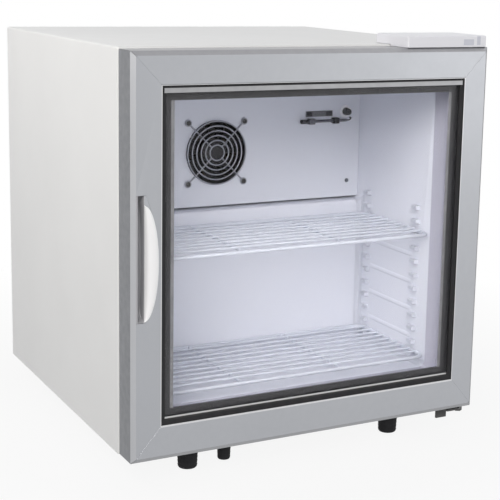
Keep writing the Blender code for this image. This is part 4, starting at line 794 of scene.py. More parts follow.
def ring_tree() -> ShapeTree:
    """Return the tree that makes concentric wire rings round the Y axis."""
    made = ShapeTree("wire_rings", {"Count": 6, "Inner": 0.01, "Step": 0.006, "Wire": 0.001,
                                    "Centre": (0.0, 0.0, 0.0)})
    given = made.given
    size = made.math("MULTIPLY_ADD", made.add("GeometryNodeInputIndex"), given["Step"], given["Inner"])
    circle = made.add("GeometryNodeCurvePrimitiveCircle", {"Resolution": 72, "Radius": 1.0})
    copies = made.copies(made.points(given["Centre"], (0.0, 0.0, 0.0)), circle,
                         {"Rotation": Facing.FRONT.value, "Scale": size})
    section = made.add("GeometryNodeCurvePrimitiveCircle", {"Resolution": 10, "Radius": given["Wire"]})
    return made.dressed(made.add("GeometryNodeCurveToMesh", {0: made.realized(copies), 1: section}))


def scatter_tree() -> ShapeTree:
    """Return the tree that sets a piece on every point of a mesh, turned one way."""
    made = ShapeTree("set_on_points", {"Piece": "Object", "Turn": (0.0, 0.0, 0.0)})
    given = made.given
    piece = made.add("GeometryNodeObjectInfo", {"Object": given["Piece"]}, "Geometry")
    return made.dressed(made.copies(given["Geometry"], piece, {"Rotation": given["Turn"]}))


WIRE, ROW, ROUND, RINGS, SCATTER = wire_tree(), row_tree(), turn_tree(), ring_tree(), scatter_tree()


def grown(piece: Thing, tree: ShapeTree, finish: Finish, **values: object) -> Thing:
    """Run a Geometry Nodes tree on a piece and keep its result as a plain mesh.

    Args:
        piece: The piece whose mesh feeds the tree.
        tree: The tree.
        finish: The finish that the tree sets.
        values: The tree's inputs, with underscores for spaces.

    Returns:
        The same piece with the finished mesh.
    """
    modifier = piece.modifiers.new("shape", "NODES")
    modifier.node_group = tree.tree
    modifier[tree.keys["Material"]] = finish.material()
    for label, value in values.items():
        modifier[tree.keys[label.replace("_", " ")]] = value
    mesh = baked(piece)
    bm = bmesh.new()
    bm.from_mesh(mesh)
    bmesh.ops.recalc_face_normals(bm, faces=bm.faces)
    bm.to_mesh(mesh)
    bm.free()
    return piece


@dataclass
class ScrewHead:
    """A pan head with a cross recess, set wherever a screw of the cabinet shows."""

    radius: float = 0.0036
    height: float = 0.0019

    def master(self) -> Thing:
        """Return a head that stands on the origin and looks along +Z."""
        radius, height = self.radius, self.height
        head = turned("screw_master", [(0.0, -0.0002), (radius, -0.0002), (radius, height * 0.30),
                                       (radius * 0.93, height * 0.62), (radius * 0.72, height * 0.88),
                                       (radius * 0.4, height), (0.0, height)], (0.0, 0.0, 0.0), steps=24)
        slots = joined("screw_slots", [
            block("slot", (-radius * x, -radius * y, height * 0.45), (radius * x, radius * y, height * 2))
            for x, y in ((0.5, 0.11), (0.11, 0.5))])
        cut = head.modifiers.new("recess", "BOOLEAN")
        cut.operation, cut.solver, cut.use_self, cut.object = "DIFFERENCE", "EXACT", True, slots
        baked(head)
        bpy.data.objects.remove(slots, do_unlink=True)
        return head

    def set_on(self, name: str, points: Sequence[Point], side: Facing, finish: Finish) -> None:
        """Set a head on every point.

        Args:
            name: The piece's name.
            points: The places of the heads.
            side: The side that they look to.
            finish: Their finish.
        """
        head = self.master()
        piece = path_piece(name, [([point], False) for point in points])
        grown(piece, SCATTER, finish, Piece=head, Turn=side.value)
        bpy.data.objects.remove(head, do_unlink=True)
        fitted(piece, Body.CABINET, finish)


# Sub-assemblies

@dataclass
class Shell:
    """The painted outer case with its rear panels and feet."""

    edge: float = 0.0008
    inlet_edge: float = 0.0004
    screw_inset: Flat = (0.012, 0.010)
    slot_x: float = 0.1146
    slot_reach: float = 0.0872
    slot_foot: float = 0.066
    slot_pitch: float = 0.015
    slot_rows: int = 10
    hood: tuple[Flat, ...] = ((-0.0004, 0.0046), (0.0008, 0.0044), (0.0022, 0.0034), (0.0034, 0.0012),
                              (0.0039, -0.0016), (0.0033, -0.0017), (0.0027, 0.0008), (0.0016, 0.0026),
                              (0.0004, 0.0034), (-0.0004, 0.0035))
    hood_end: float = 0.007
    hood_least: float = 0.04
    hood_steps: int = 9

    def build(self) -> None:
        """Build the case."""
        fitted(copied("outer_shell", "painted_case", self.edge, 3), Body.CABINET, WHITE_PAINT, "outer_shell")
        for node, name in (("base_plate", "painted_base"), ("rear_panel", "painted_back"),
                           ("machine_cover", "louvred_cover")):
            recast(node, name, WHITE_PAINT)
        for node in ("front_left_foot", "front_right_foot", "rear_left_foot", "rear_right_foot",
                     "drain_plug"):
            ribbed(node)
        self.hoods()
        self.back_screws()
        recast("power_inlet", "mains_socket", BLACK_MOULDING, self.inlet_edge)

    def hoods(self) -> None:
        """Press a louvre's hood over each slot of the machine cover."""
        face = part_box("machine_cover")[1].y
        sections = []
        for step in range(-self.hood_steps, self.hood_steps + 1):
            x = math.sin(step / self.hood_steps * math.pi / 2) * self.slot_reach
            away = max(abs(x) - self.slot_reach + self.hood_end, 0.0) / self.hood_end
            swell = arch(away, self.hood_least)
            sections.append([(x, y * swell if y > 0 else y, z) for y, z in self.hood])
        rows = [grown(lofted("hood", sections), ROW, WHITE_PAINT, Count=self.slot_rows,
                      Start=(x, face, self.slot_foot), Step=(0.0, 0.0, self.slot_pitch))
                for x in (-self.slot_x, self.slot_x)]
        fitted(joined("louvre_hoods", rows), Body.CABINET, WHITE_PAINT, smooth=40.0)

    def back_screws(self) -> None:
        """Set the screws of the two rear panels."""
        points = []
        across, up = self.screw_inset
        for node in ("rear_panel", "machine_cover"):
            low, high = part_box(node)
            points += [(x, high.y, z) for x in (low.x + across, 0.0, high.x - across)
                       for z in (low.z + up, high.z - up)]
        ScrewHead().set_on("back_screws", points, Facing.BACK, ZINC)


@dataclass
class Interior:
    """The moulded liner with its shelf pegs, and the folded cover of the evaporator."""

    liner_edge: float = 0.0012
    mouth: float = 0.0185
    wall_gap: float = 0.0012
    peg_out: float = 0.007
    cover_edge: float = 0.0004
    cover_drop: float = 0.005
    cover_foot: float = 0.006
    screw_x: float = 0.183
    screw_z: float = 0.307
    rib_y: Flat = (-0.1405, -0.0335)
    rib_foot: float = 0.1145
    rib_pitch: float = 0.0375
    rib_count: int = 4
    rib: tuple[Flat, ...] = ((-0.0004, -0.0033), (0.0004, -0.0031), (0.0009, -0.0022), (0.0010, -0.0010),
                             (0.0008, 0.0008), (0.0004, 0.0024), (-0.0004, 0.0036))
    rib_end: float = 0.06
    rib_least: float = 0.1
    rib_steps: int = 40

    def build(self) -> None:
        """Build the inside."""
        liner = fitted(copied("inner_liner", "moulded_liner", self.liner_edge, 3, 40.0), Body.CABINET, LINER,
                       "inner_liner")
        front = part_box("inner_liner")[0].y
        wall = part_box("upper_shelf")[1].x + self.wall_gap
        faced(liner, THROAT, lambda centre, normal: centre.y < front + self.mouth)
        # The pegs take the darker liner colour as painted shade
        faced(liner, PEG_AND_UNDERSIDE_SHADE, lambda centre, normal: front + self.mouth < centre.y < 0.0
              and wall - self.peg_out - 0.0005 < abs(centre.x) < wall - 0.0003)
        self.ribs(wall)
        cover = copied("evaporator_cover", "folded_cover", self.cover_edge)
        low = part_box("evaporator_cover")[0]
        for vert in cover.data.vertices:
            if vert.co.z < low.z + self.cover_foot:
                vert.co.z -= self.cover_drop
        # The cover's darker colour is partly painted shade
        fitted(cover, Body.CABINET, COIL_COVER_SHADE, "evaporator_cover")
        points = [(x, low.y, self.screw_z) for x in (-self.screw_x, self.screw_x)]
        ScrewHead(0.0030, 0.0014).set_on("cover_screws", points, Facing.FRONT, TINNED)

    def ribs(self, wall: float) -> None:
        """Mould low ribs along both walls, between the front and the rear pegs.

        Args:
            wall: The distance of both walls from the middle.
        """
        front, back = self.rib_y
        rows = []
        for side in (-1, 1):
            sections = []
            for step in range(self.rib_steps + 1):
                share = step / self.rib_steps
                swell = arch(max(abs(2 * share - 1) - 1 + self.rib_end, 0.0) / self.rib_end, self.rib_least)
                sections.append([(side * (wall - out * swell), front + (back - front) * share, z)
                                 for out, z in self.rib])
            rows.append(grown(lofted("rib", sections), ROW, LINER, Count=self.rib_count,
                              Start=(0.0, 0.0, self.rib_foot), Step=(0.0, 0.0, self.rib_pitch)))
        ribs = fitted(joined("wall_ribs", rows), Body.CABINET, LINER, smooth=60.0)
        # The ribs' undersides take the darker liner colour as painted shade
        faced(ribs, PEG_AND_UNDERSIDE_SHADE, lambda centre, normal: normal.z < -0.3)


@dataclass
class Door:
    """The mitred aluminium frame with its insulated glass and magnetic seal.

    A length that ends in _u is a distance in from the frame's outer edge.
    """

    edge: float = 0.0006
    lip_u: float = 0.0415
    lip_under: float = 0.004
    print_u: Point = (0.0500, 0.0505, 0.0526)
    film: Flat = (0.00003, 0.00025)
    spacer_width: float = 0.0040
    upper_strip: Flat = (0.0388, 0.0440)
    lower_strip: Flat = (0.0408, 0.0436)
    strip_thick: float = 0.0005
    highlight_u: Point = (0.0352, 0.0343, 0.0356)
    stile_u: float = 0.036
    top_u: float = 0.038
    bottom_u: float = 0.042
    solid_bottom_u: float = 0.045
    bead_foot: float = 0.012
    seal_width: float = 0.0122
    mitre_u: float = 0.0062
    mitre_foot_u: float = 0.0348
    mitre_half: float = 0.0009
    mitre_depths: Flat = (0.00032, 0.0012)

    def corners(self, side: float, foot: float | None = None, head: float | None = None) -> tuple[Flat, Flat]:
        """Return the low and high corners, in X and Z, at distances in from the frame's edge.

        Args:
            side: The distance in from both sides, which also holds where the next two are left out.
            foot: The distance up, on the scale of the stiles.
            head: The distance down, on the scale of the stiles.

        Returns:
            The low corner and the high corner.
        """
        foot = side if foot is None else foot
        head = side if head is None else head
        low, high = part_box("left_stile")
        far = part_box("right_stile")[1]
        return ((low.x + side, low.z + foot * self.bottom_u / self.stile_u),
                (far.x - side, high.z - head * self.top_u / self.stile_u))

    def build(self) -> None:
        """Build the door."""
        self.bars()
        fitted(self.settled(copied("glazing_gasket", "outer_gasket", 0.0003)), Body.DOOR, BLACK_RUBBER,
               "glazing_gasket")
        bead = recast("glazing_bead", "snap_in_bead", COVER_WHITE, 0.0005, Body.DOOR)
        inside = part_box("glazing_bead")[1].x - self.bead_foot
        faced(bead, THROAT, lambda centre, normal: abs(normal.x) > 0.3 and abs(centre.x) < inside)
        self.seal()
        self.edge_print()
        self.strips()

    def settled(self, piece: Thing) -> Thing:
        """Bring a copy's foot down to the bottom rail and its pocket up to the grip.

        Args:
            piece: The copy.

        Returns:
            The same piece.
        """
        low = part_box("left_stile")[0].z
        rail = self.solid_bottom_u
        pocket = [corner.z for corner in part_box("handle_cup")]
        for vert in piece.data.vertices:
            share = (vert.co.z - low) / rail
            if 0.0 < share < 1.6:
                vert.co.z -= (rail - self.bottom_u) * min(share, 1.0)
            elif pocket[0] - 0.004 < vert.co.z < pocket[1] + 0.004:
                vert.co.z += Grip.lift
        return piece

    def bars(self) -> None:
        """Dress the four mitred bars, with painted shade on their outer flanks and a painted highlight on the
        left stile's bevel, and lay a painted highlight strip along their inner edge.
        """
        for node, finish, flank, way in (("left_stile", ALUMINIUM_UP, ALUMINIUM_FLANK_SHADE, (-1, 0, 0)),
                                         ("right_stile", ALUMINIUM_UP, ALUMINIUM_FLANK_SHADE, (1, 0, 0)),
                                         ("top_rail", ALUMINIUM_ACROSS, ALUMINIUM_HEAD_SHADE, (0, 0, 1)),
                                         ("bottom_rail", ALUMINIUM_ACROSS, ALUMINIUM_SILL_SHADE, (0, 0, -1))):
            bar = fitted(self.settled(copied(node, f"anodised_{node}", self.edge)), Body.DOOR, finish, node)
            # The left stile's bevel is kept out of the flank's painted shade so that it can take a painted
            # highlight
            least = 0.9 if node == "left_stile" else 0.4
            faced(bar, flank, lambda centre, normal, way=Vector(way), least=least: normal.dot(way) > least)
            if node == "left_stile":
                faced(bar, ALUMINIUM_BEVEL_HIGHLIGHT, lambda centre, normal: -0.9 <= normal.x < -0.4 and normal.y < 0.0)
        self.mitres()
        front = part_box("left_stile")[0].y
        # A pale strip along the inner edge, as a painted highlight
        fitted(window("bright_inner_edge", self.corners(*self.highlight_u), self.corners(self.stile_u + 0.0001),
                      front - 0.00015, front + 0.0010), Body.DOOR, INNER_EDGE_HIGHLIGHT)

    def mitres(self) -> None:
        """Fill the joints of the four mitres a little below the front."""
        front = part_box("left_stile")[0].y
        outer, inner = self.corners(self.mitre_u), self.corners(self.mitre_foot_u)
        bridges = []
        for side, end in ((0, 0), (0, 1), (1, 0), (1, 1)):
            (x1, z1), (x2, z2) = (outer[side][0], outer[end][1]), (inner[side][0], inner[end][1])
            away = Vector((z1 - z2, x2 - x1)).normalized() * self.mitre_half
            section = [(x1 - away.x, z1 - away.y), (x2 - away.x, z2 - away.y), (x2 + away.x, z2 + away.y),
                       (x1 + away.x, z1 + away.y)]
            bridges.append(lofted("bridge", [[(x, front + deep, z) for x, z in section]
                                             for deep in self.mitre_depths]))
        fitted(joined("filled_mitres", bridges), Body.DOOR, ALUMINIUM_UP)

    def seal(self) -> None:
        """Fold the magnetic seal: a foot in the frame, a waist and a flat lip with the magnet."""
        low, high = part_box("magnetic_seal")
        deep = high.y - low.y
        half = self.seal_width / 2
        side = [(half, 0.0), (half, 0.20), (half - 0.0018, 0.27), (half - 0.0018, 0.40),
                (half - 0.0001, 0.56), (half - 0.0003, 0.92), (half - 0.0012, 1.0)]
        rows = []
        for away, share in side + [(-away, share) for away, share in side[::-1]]:
            u = half - away
            rows.append((((low.x + u, low.z + u), (high.x - u, high.z - u)), low.y + deep * share))
        fitted(framed("folded_seal", rows), Body.DOOR, GREY_RUBBER, "magnetic_seal", smooth=50.0)

    def edge_print(self) -> None:
        """Lay the black edge seal and the spacer's face behind the outer pane."""
        front, back = (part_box("outer_pane")[1].y + deep for deep in self.film)
        (left, foot), (right, head) = inner = self.corners(*self.print_u)
        outer = self.corners(self.lip_u - self.lip_under)
        fitted(window("black_edge_band", outer, inner, front, back), Body.DOOR, BLACK_PRINT)
        for name, x in (("left_spacer_face", left), ("right_spacer_face", right - self.spacer_width)):
            fitted(block(name, (x, front, foot), (x + self.spacer_width, back, head)), Body.DOOR, SPACER_GREY)

    def strips(self) -> None:
        """Lay the two strips that hold the glass along its head and foot, the upper one darkened as painted
        shade and the lower one lightened as painted light.
        """
        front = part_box("left_stile")[0].y + 0.0006
        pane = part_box("outer_pane")[0].y
        for name, finish, (outer_u, inner_u), y in (
                ("upper_glazing_strip", UPPER_STRIP_SHADE, self.upper_strip, front),
                ("lower_glazing_strip", LOWER_STRIP_LIT, self.lower_strip, pane - self.strip_thick - 0.00005)):
            outer, inner = self.corners(outer_u), self.corners(inner_u)
            low_z, high_z = (inner[1][1], outer[1][1]) if y == front else (outer[0][1], inner[0][1])
            fitted(block(name, (outer[0][0], y, low_z), (outer[1][0], y + self.strip_thick, high_z), 0.00012),
                   Body.DOOR, finish)


@dataclass
class Grip:
    """The white grip let into the left stile: a groove for the fingers, lined in a grey that is partly its
    own and partly painted shade of the deep groove, and a rounded crescent.

    A length that ends in _u is a distance in from the door's left edge.
    """

    left_u: float = 0.0055
    shoulder_u: float = 0.0170
    reach_u: float = 0.0312
    groove: float = 0.0080
    wall: float = 0.0013
    depth: float = 0.0215
    rim: float = 0.0012
    lining: float = 0.0003
    brow_u: float = 0.0147
    brow: Flat = (0.0032, 0.0080)
    crescent: Flat = (0.2065, 0.3405)
    overlap: float = 0.0014
    lift: float = 0.0038
    swell: tuple[Flat, ...] = ((0.0, 8.0), (0.03, 6.6), (0.06, 5.4), (0.12, 3.5), (0.19, 2.15), (0.27, 1.25),
                               (0.37, 0.45), (0.49, -0.15), (0.61, -0.58), (0.74, -0.80), (0.85, -0.72),
                               (0.93, -0.48), (0.98, -0.22), (1.0, -0.05))
    stations: int = 96
    floor_steps: int = 10

    def build(self) -> None:
        """Loft the cup and its lining as closed shells."""
        low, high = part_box("handle_cup")
        half = (high.z - low.z) / 2
        middle = (high.z + low.z) / 2 + self.lift
        side = low.x - self.left_u
        cup, lining = [], []
        for step in range(self.stations + 1):
            share = -1 + 2 * step / self.stations
            share = math.copysign(1 - (1 - abs(share)) ** 1.25, share)
            z = middle + half * share
            for sections, flat in ((cup, self.section(share, z)), (lining, self.lined(share, z))):
                sections.append([(side + u, low.y + v, z) for u, v in flat])
        shell = fitted(lofted("grip_cup", cup), Body.DOOR, GLOSS_WHITE, "handle_cup", smooth=40.0)
        faced(shell, ALUMINIUM_UP, lambda centre, normal: normal.y < -0.99 and abs(centre.y - low.y) < 0.00003
              and centre.x > side + self.brow_u)
        # The lining's grey is partly painted shade of the deep groove
        fitted(lofted("grip_lining", lining), Body.DOOR, GRIP_GREY_AND_SHADE, smooth=40.0)

    def width(self, z: float) -> float:
        """Return the share of its full width that the crescent has at a height."""
        low, high = self.crescent
        return arch((2 * z - low - high) / (high - low))

    def sink(self, share: float) -> float:
        """Return the depth of the groove's floor, which comes up at both ends."""
        return (self.depth - 2 * self.wall) * max(1 - abs(share) ** 24, 0.02)

    def section(self, share: float, z: float) -> list[Flat]:
        """Return the cup's section at a height.

        Args:
            share: The height from -1 at the lower end to 1 at the upper end.
            z: The same height in the frame.

        Returns:
            The closed section as pairs of distance in from the door's edge and depth.
        """
        width, sink, steps = self.width(z), self.sink(share), self.floor_steps
        left = self.left_u + self.wall
        pocket = self.shoulder_u + (self.reach_u - self.shoulder_u) * max(1 - share * share, 0.0) - 0.00005
        start = self.brow_u + self.brow[0] * width
        white = start + (self.reach_u + self.overlap - self.brow_u - self.brow[0]) * width
        inner = [(left, sink * 0.5), (left + 0.0008, sink * 0.96), (left + 0.002, sink),
                 (start - 0.001, sink), (start, max(sink * 0.93, self.brow[1] * width))]
        inner += [(start + (white - start) * along, width * rise / 1000) for along, rise in self.swell]
        lip = [(white + 0.00002, 0.0), (pocket, 0.0), (pocket, self.rim)]
        base = left + self.groove
        ramp = max(pocket - self.wall * 2 - base, 0.001)
        under = [(base + ramp * (1 - step / steps), min(self.rim + sink * math.cos(
            (1 - step / steps) * math.pi / 2) ** 1.2, self.depth)) for step in range(1, steps + 1)]
        tail = [(left - self.wall * 0.5, min(sink + self.wall, self.depth)), (self.left_u, self.rim),
                (self.left_u, self.rim * 0.4), (self.left_u + 0.0005, 0.0), (left, 0.0003)]
        return inner + lip + under + tail

    def lined(self, share: float, z: float) -> list[Flat]:
        """Return the section of the thin lining of the groove.

        Args:
            share: The height from -1 at the lower end to 1 at the upper end.
            z: The same height in the frame.

        Returns:
            The closed section as pairs of distance in from the door's edge and depth.
        """
        width, sink, thick = self.width(z), self.sink(share), self.lining
        left = self.left_u + self.wall
        start, brow = self.brow_u + self.brow[0] * width, self.brow[1] * width
        seen = [(self.left_u - 0.0005, -0.0001), (left + 0.0001, -0.0001), (left + thick, 0.0002),
                (left + thick, max(sink - 0.0015, 0.00025)), (left + 0.0014, max(sink - thick, 0.0003)),
                (start - 0.0016, max(sink - thick, 0.0003)), (start - thick, max(sink - 0.0016, 0.00025)),
                (start - thick, brow * 0.98 + 0.0001), (start - 0.00005, brow * 0.96)]
        hidden = [(self.left_u - 0.0005, 0.00005), (left - 0.0001, 0.00005), (left - 0.0001, 0.0004),
                  (left - 0.0001, max(sink - 0.0012, 0.0006)), (left + 0.0012, sink + 0.0003),
                  (start - 0.0012, sink + 0.0003), (start + 0.0001, max(sink - 0.0012, 0.0006)),
                  (start + 0.0001, brow + 0.0006), (start + 0.0001, brow + 0.0003)]
        return seen + hidden[::-1]


@dataclass
class Hinges:
    """The top cover and the two brackets."""

    catch_x: Flat = (0.2020, 0.2175)
    catch_top: float = 0.0075
    joint_x: Flat = (0.2222, 0.2275)
    joint_top: float = 0.0010
    inset_y: Flat = (-0.0001, 0.0006)
    skirt: float = 0.0021
    step_y: float = -0.1974
    step: float = 0.0004

    def build(self) -> None:
        """Build the hinge hardware, with the cover's skirt lowered in front of its step."""
        low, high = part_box("hinge_cover")
        cover = copied("hinge_cover", "moulded_hinge_cover", 0.0008, 3)
        bm = bmesh.new()
        bm.from_mesh(cover.data)
        for y in (self.step_y, self.step_y + self.step):
            bmesh.ops.bisect_plane(bm, geom=[*bm.verts, *bm.edges, *bm.faces], dist=1e-6,
                                   plane_co=(0.0, y, 0.0), plane_no=(0.0, 1.0, 0.0))
        for vert in bm.verts:
            if vert.co.z < low.z + 0.001 and vert.co.y < self.step_y + 0.0001:
                vert.co.z -= self.skirt
        bm.to_mesh(cover.data)
        bm.free()
        fitted(cover, Body.CABINET, COVER_WHITE, "hinge_cover")
        # Flat grey patches: painted shade of the recesses at the catch window and the end joint
        for name, (left, right), top in (("catch_window", self.catch_x, low.z + self.catch_top),
                                         ("end_joint", self.joint_x, high.z - self.joint_top)):
            front, back = (low.y + deep for deep in self.inset_y)
            fitted(block(name, (left, front, low.z + 0.0003), (right, back, top), 0.00008), Body.CABINET,
                   RECESS_SHADE_GREY)
        recast("top_hinge_bracket", "plated_top_plate", ZINC)
        recast("bottom_hinge_bracket", "black_bottom_plate", BLACK_PAINT)


@dataclass
class Fan:
    """The axial fan: its frame, the seven-bladed rotor and the wire guard."""

    blades: int = 7
    blade_rows: int = 12
    blade_columns: int = 14
    blade_thick: float = 0.0014
    blade_root: float = 0.0012
    sweep: float = 0.50
    span: Flat = (0.66, 0.06)
    lean: Flat = (0.0120, 0.40)
    camber: float = 0.0018
    rings: int = 6
    inner_ring: float = 0.0105
    outer_ring: float = 0.0430
    wire: float = 0.0010
    hub: float = 0.0185
    tip: float = 0.0418
    pitch: float = 0.0825

    def build(self) -> None:
        """Build the fan."""
        recast("fan_housing", "fan_frame", BLACK_MOULDING, 0.0006)
        self.rotor()
        self.guard()

    def rotor(self) -> None:
        """Turn the hub and set the swept blades round it."""
        low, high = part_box("fan_rotor")
        half = (high.y - low.y) / 2
        body = half * 0.86
        wide = self.hub
        profile = [(0.0, -body), (wide * 0.35, -body), (wide * 0.36, -body + 0.0006),
                   (wide * 0.80, -body + 0.0006), (wide * 0.84, -body), (wide * 0.95, -body + 0.0004),
                   (wide, -body + 0.0016), (wide, body), (wide * 0.9, body), (0.003, body), (0.0028, half),
                   (0.0, half)]
        hub = turned("rotor_hub", profile, (0.0, 0.0, 0.0), Axis.Y, 72)
        rotor = joined("swept_rotor", [hub, grown(self.blade(), ROUND, BLACK_MOULDING, Count=self.blades)])
        for vert in rotor.data.vertices:
            vert.co += (low + high) / 2
        fitted(rotor, Body.FAN, BLACK_MOULDING, "fan_rotor", smooth=38.0)

    def blade(self) -> Thing:
        """Return one blade, rooted in the hub at the origin."""
        sections = []
        for row in range(self.blade_rows + 1):
            share = row / self.blade_rows
            radius = self.hub - self.blade_root + (self.tip - self.hub + self.blade_root) * share
            sweep, span = self.sweep * share, self.span[0] - self.span[1] * share
            lean = self.lean[0] * (1 - self.lean[1] * share)
            upper, lower = [], []
            for column in range(self.blade_columns + 1):
                along = column / self.blade_columns
                angle = sweep + span * (along - 0.5)
                height = lean * (0.5 - along) + self.camber * math.sin(math.pi * along)
                edge = self.blade_thick * 0.5 * min(1.0, 0.25 + 3.2 * min(along, 1 - along))
                x, z = radius * math.cos(angle), radius * math.sin(angle)
                upper.append((x, height - edge, z))
                lower.append((x, height + edge, z))
            sections.append(upper + lower[::-1])
        return lofted("fan_blade", sections)

    def guard(self) -> None:
        """Make the rings, the two crossed wires and their screw eyes."""
        low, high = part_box("fan_guard")
        (x, _, z), wire, reach = sum(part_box("fan_housing"), Vector()) / 2, self.wire, self.pitch / 2
        ring_y, eye_y, eye = low.y + wire, high.y - wire, 4 * wire
        rings = grown(path_piece("guard_rings", []), RINGS, PLATED, Count=self.rings, Inner=self.inner_ring,
                      Wire=wire, Step=(self.outer_ring - self.inner_ring) / (self.rings - 1),
                      Centre=(x, ring_y, z))
        start = Vector((x, ring_y + 1.6 * wire, z))
        ways = [(-1, -1), (-1, 1), (1, -1), (1, 1)]
        runs = []
        for across, up in ways:
            away = Vector((across, 0.0, up)).normalized()
            tip = Vector((x + across * reach, eye_y, z + up * reach))
            runs.append(([start + away * (self.inner_ring - wire), start + away * (self.outer_ring + 0.002),
                          tip - away * eye], False))
            runs.append(([tip + Vector((eye * math.cos(angle), 0.0, eye * math.sin(angle)))
                          for angle in (2 * math.pi * step / 20 for step in range(20))], True))
        spokes = grown(path_piece("guard_spokes", runs), WIRE, PLATED, Radius=wire, Bend=0.003)
        fitted(joined("wire_guard", [rings, spokes]), Body.CABINET, PLATED, "fan_guard", smooth=50.0)
        points = [(x + across * reach, eye_y - wire * 0.6, z + up * reach) for across, up in ways]
        ScrewHead(0.0034, 0.0016).set_on("guard_screws", points, Facing.FRONT, BLACK_PAINT)


@dataclass
class Thermostat:
    """The knob with its scale, the sensing bulb and its clips."""

    ribs: int = 24
    core: float = 0.60
    plate_x: Flat = (0.1135, 0.1566)
    plate_z: Flat = (0.4003, 0.4084)
    end_width: float = 0.0085
    end_inset: float = 0.0015
    ticks: int = 7
    tick_half: float = 0.00025
    bulb_end: float = 0.003
    sleeve: tuple[Flat, ...] = ((0.0, 0.0), (0.0026, 0.0), (0.0031, 0.0007), (0.0031, 0.0093), (0.0026, 0.01),
                                (0.0, 0.01))
    sleeve_start: Point = (-0.0075, 0.0021, 0.0021)

    def build(self) -> None:
        """Build the control."""
        self.knob()
        self.scale()
        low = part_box("sensor_bulb")[0]
        bulb = recast("sensor_bulb", "sensing_bulb", TINNED, smooth=60.0)
        dark_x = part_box("right_bulb_clip")[0].x - self.bulb_end
        faced(bulb, BLACK_MOULDING, lambda centre, normal: centre.x > dark_x)
        start = low + Vector(self.sleeve_start)
        fitted(turned("bulb_sleeve", self.sleeve, start, Axis.X, 32), Body.CABINET, BLACK_MOULDING)
        for side, finish in (("left", TINNED), ("right", BLACK_MOULDING)):
            recast(f"{side}_bulb_clip", f"{side}_clip", finish, 0.0004, slot="black_plastic")

    def scale(self) -> None:
        """Lay the plate beside the knob, with plain ticks and its two dark ends."""
        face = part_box("evaporator_cover")[0].y
        (left, right), (foot, head), end = self.plate_x, self.plate_z, self.end_width
        fitted(block("scale_plate", (left, face - 0.0008, foot), (right, face - 0.00005, head), 0.0002),
               Body.CABINET, SCALE_GREY)
        for name, x in (("left_plate_end", left + self.end_inset),
                        ("right_plate_end", right - self.end_inset - end)):
            fitted(block(name, (x, face - 0.0014, foot + 0.0008), (x + end, face - 0.0007, head - 0.0010),
                         0.0002), Body.CABINET, BLACK_MOULDING)
        room = right - left - 2 * end - 4 * self.end_inset
        tick = block("scale_ticks", (-self.tick_half, face - 0.00095, foot + 0.0014),
                     (self.tick_half, face - 0.0007, head - 0.0016))
        grown(tick, ROW, BLACK_MOULDING, Count=self.ticks, Step=(room / self.ticks, 0.0, 0.0),
              Start=(left + end + 2 * self.end_inset + room / self.ticks / 2, 0.0, 0.0))
        fitted(tick, Body.CABINET, BLACK_MOULDING)

    def knob(self) -> None:
        """Turn the pale skirt, and the ribbed knob on it."""
        low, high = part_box("thermostat_knob")
        centre = (low + high) / 2
        skirt = (high.x - low.x) / 2
        radius = skirt * self.core
        disc = [(0.0, 0.0), (skirt, 0.0), (skirt, -0.0007), (skirt * 0.95, -0.0012), (0.0, -0.0012)]
        fitted(turned("knob_skirt", disc, (centre.x, high.y, centre.z), Axis.Y), Body.KNOB, COVER_WHITE)
        steps = self.ribs * 4
        profile = [(0.0, low.y), (radius * 0.72, low.y), (radius * 0.80, low.y + 0.0005),
                   (radius * 0.84, low.y + 0.0014), (radius * 0.96, high.y - 0.004),
                   (radius, high.y - 0.0036), (radius, high.y), (0.0, high.y)]
        bm = bmesh.new()
        rings = []
        for index, (size, y) in enumerate(profile):
            ring = []
            for step in range(steps if size else 1):
                angle = 2 * math.pi * step / steps
                rib = 0.96 if 2 <= index <= 4 and step % 4 in (0, 1) else 1.0
                ring.append(bm.verts.new((centre.x + size * rib * math.cos(angle), y,
                                          centre.z + size * rib * math.sin(angle))))
            rings.append(ring)
        skin(bm, rings)
        fitted(object_from("ribbed_knob", bm), Body.KNOB, BLACK_MOULDING, "thermostat_knob")


@dataclass
class Rack:
    """A wire shelf: a rounded frame wire, two stays and the deck wires across it."""

    node: str
    body: Body
    frame_wire: float = 0.0024
    deck_wire: float = 0.0015
    pitch: float = 0.0165
    corner: float = 0.012
    stay_place: float = 0.36
    stay_wire: float = 0.8

    def build(self) -> None:
        """Build the shelf."""
        low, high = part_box(self.node)
        thick = self.frame_wire
        z = low.z + thick
        left, right, front, back = low.x + thick, high.x - thick, low.y + thick, high.y - thick
        corners = [(left, front, z), (right, front, z), (right, back, z), (left, back, z)]
        rim = path_piece("rim", [(corners, True)])
        grown(rim, WIRE, COATED_WIRE, Radius=thick, Bend=self.corner, Bend_Steps=10, Sides=16)
        stays = path_piece("stays", [([(x, front, z), (x, back, z)], False)
                                     for x in (left * self.stay_place, right * self.stay_place)])
        grown(stays, WIRE, COATED_WIRE, Radius=thick * self.stay_wire, Bend=0.0, Sides=12)
        count = int((back - front - 2 * self.corner) / self.pitch) + 1
        first = (front + back) / 2 - (count - 1) * self.pitch / 2
        wire = path_piece("deck", [([(left, 0.0, 0.0), (right, 0.0, 0.0)], False)])
        grown(wire, WIRE, COATED_WIRE, Radius=self.deck_wire, Bend=0.0, Sides=12)
        grown(wire, ROW, COATED_WIRE, Count=count, Start=(0.0, first, high.z - self.deck_wire),
              Step=(0.0, self.pitch, 0.0))
        fitted(joined(f"wire_{self.node}", [rim, stays, wire]), self.body, COATED_WIRE, self.node,
               smooth=50.0)


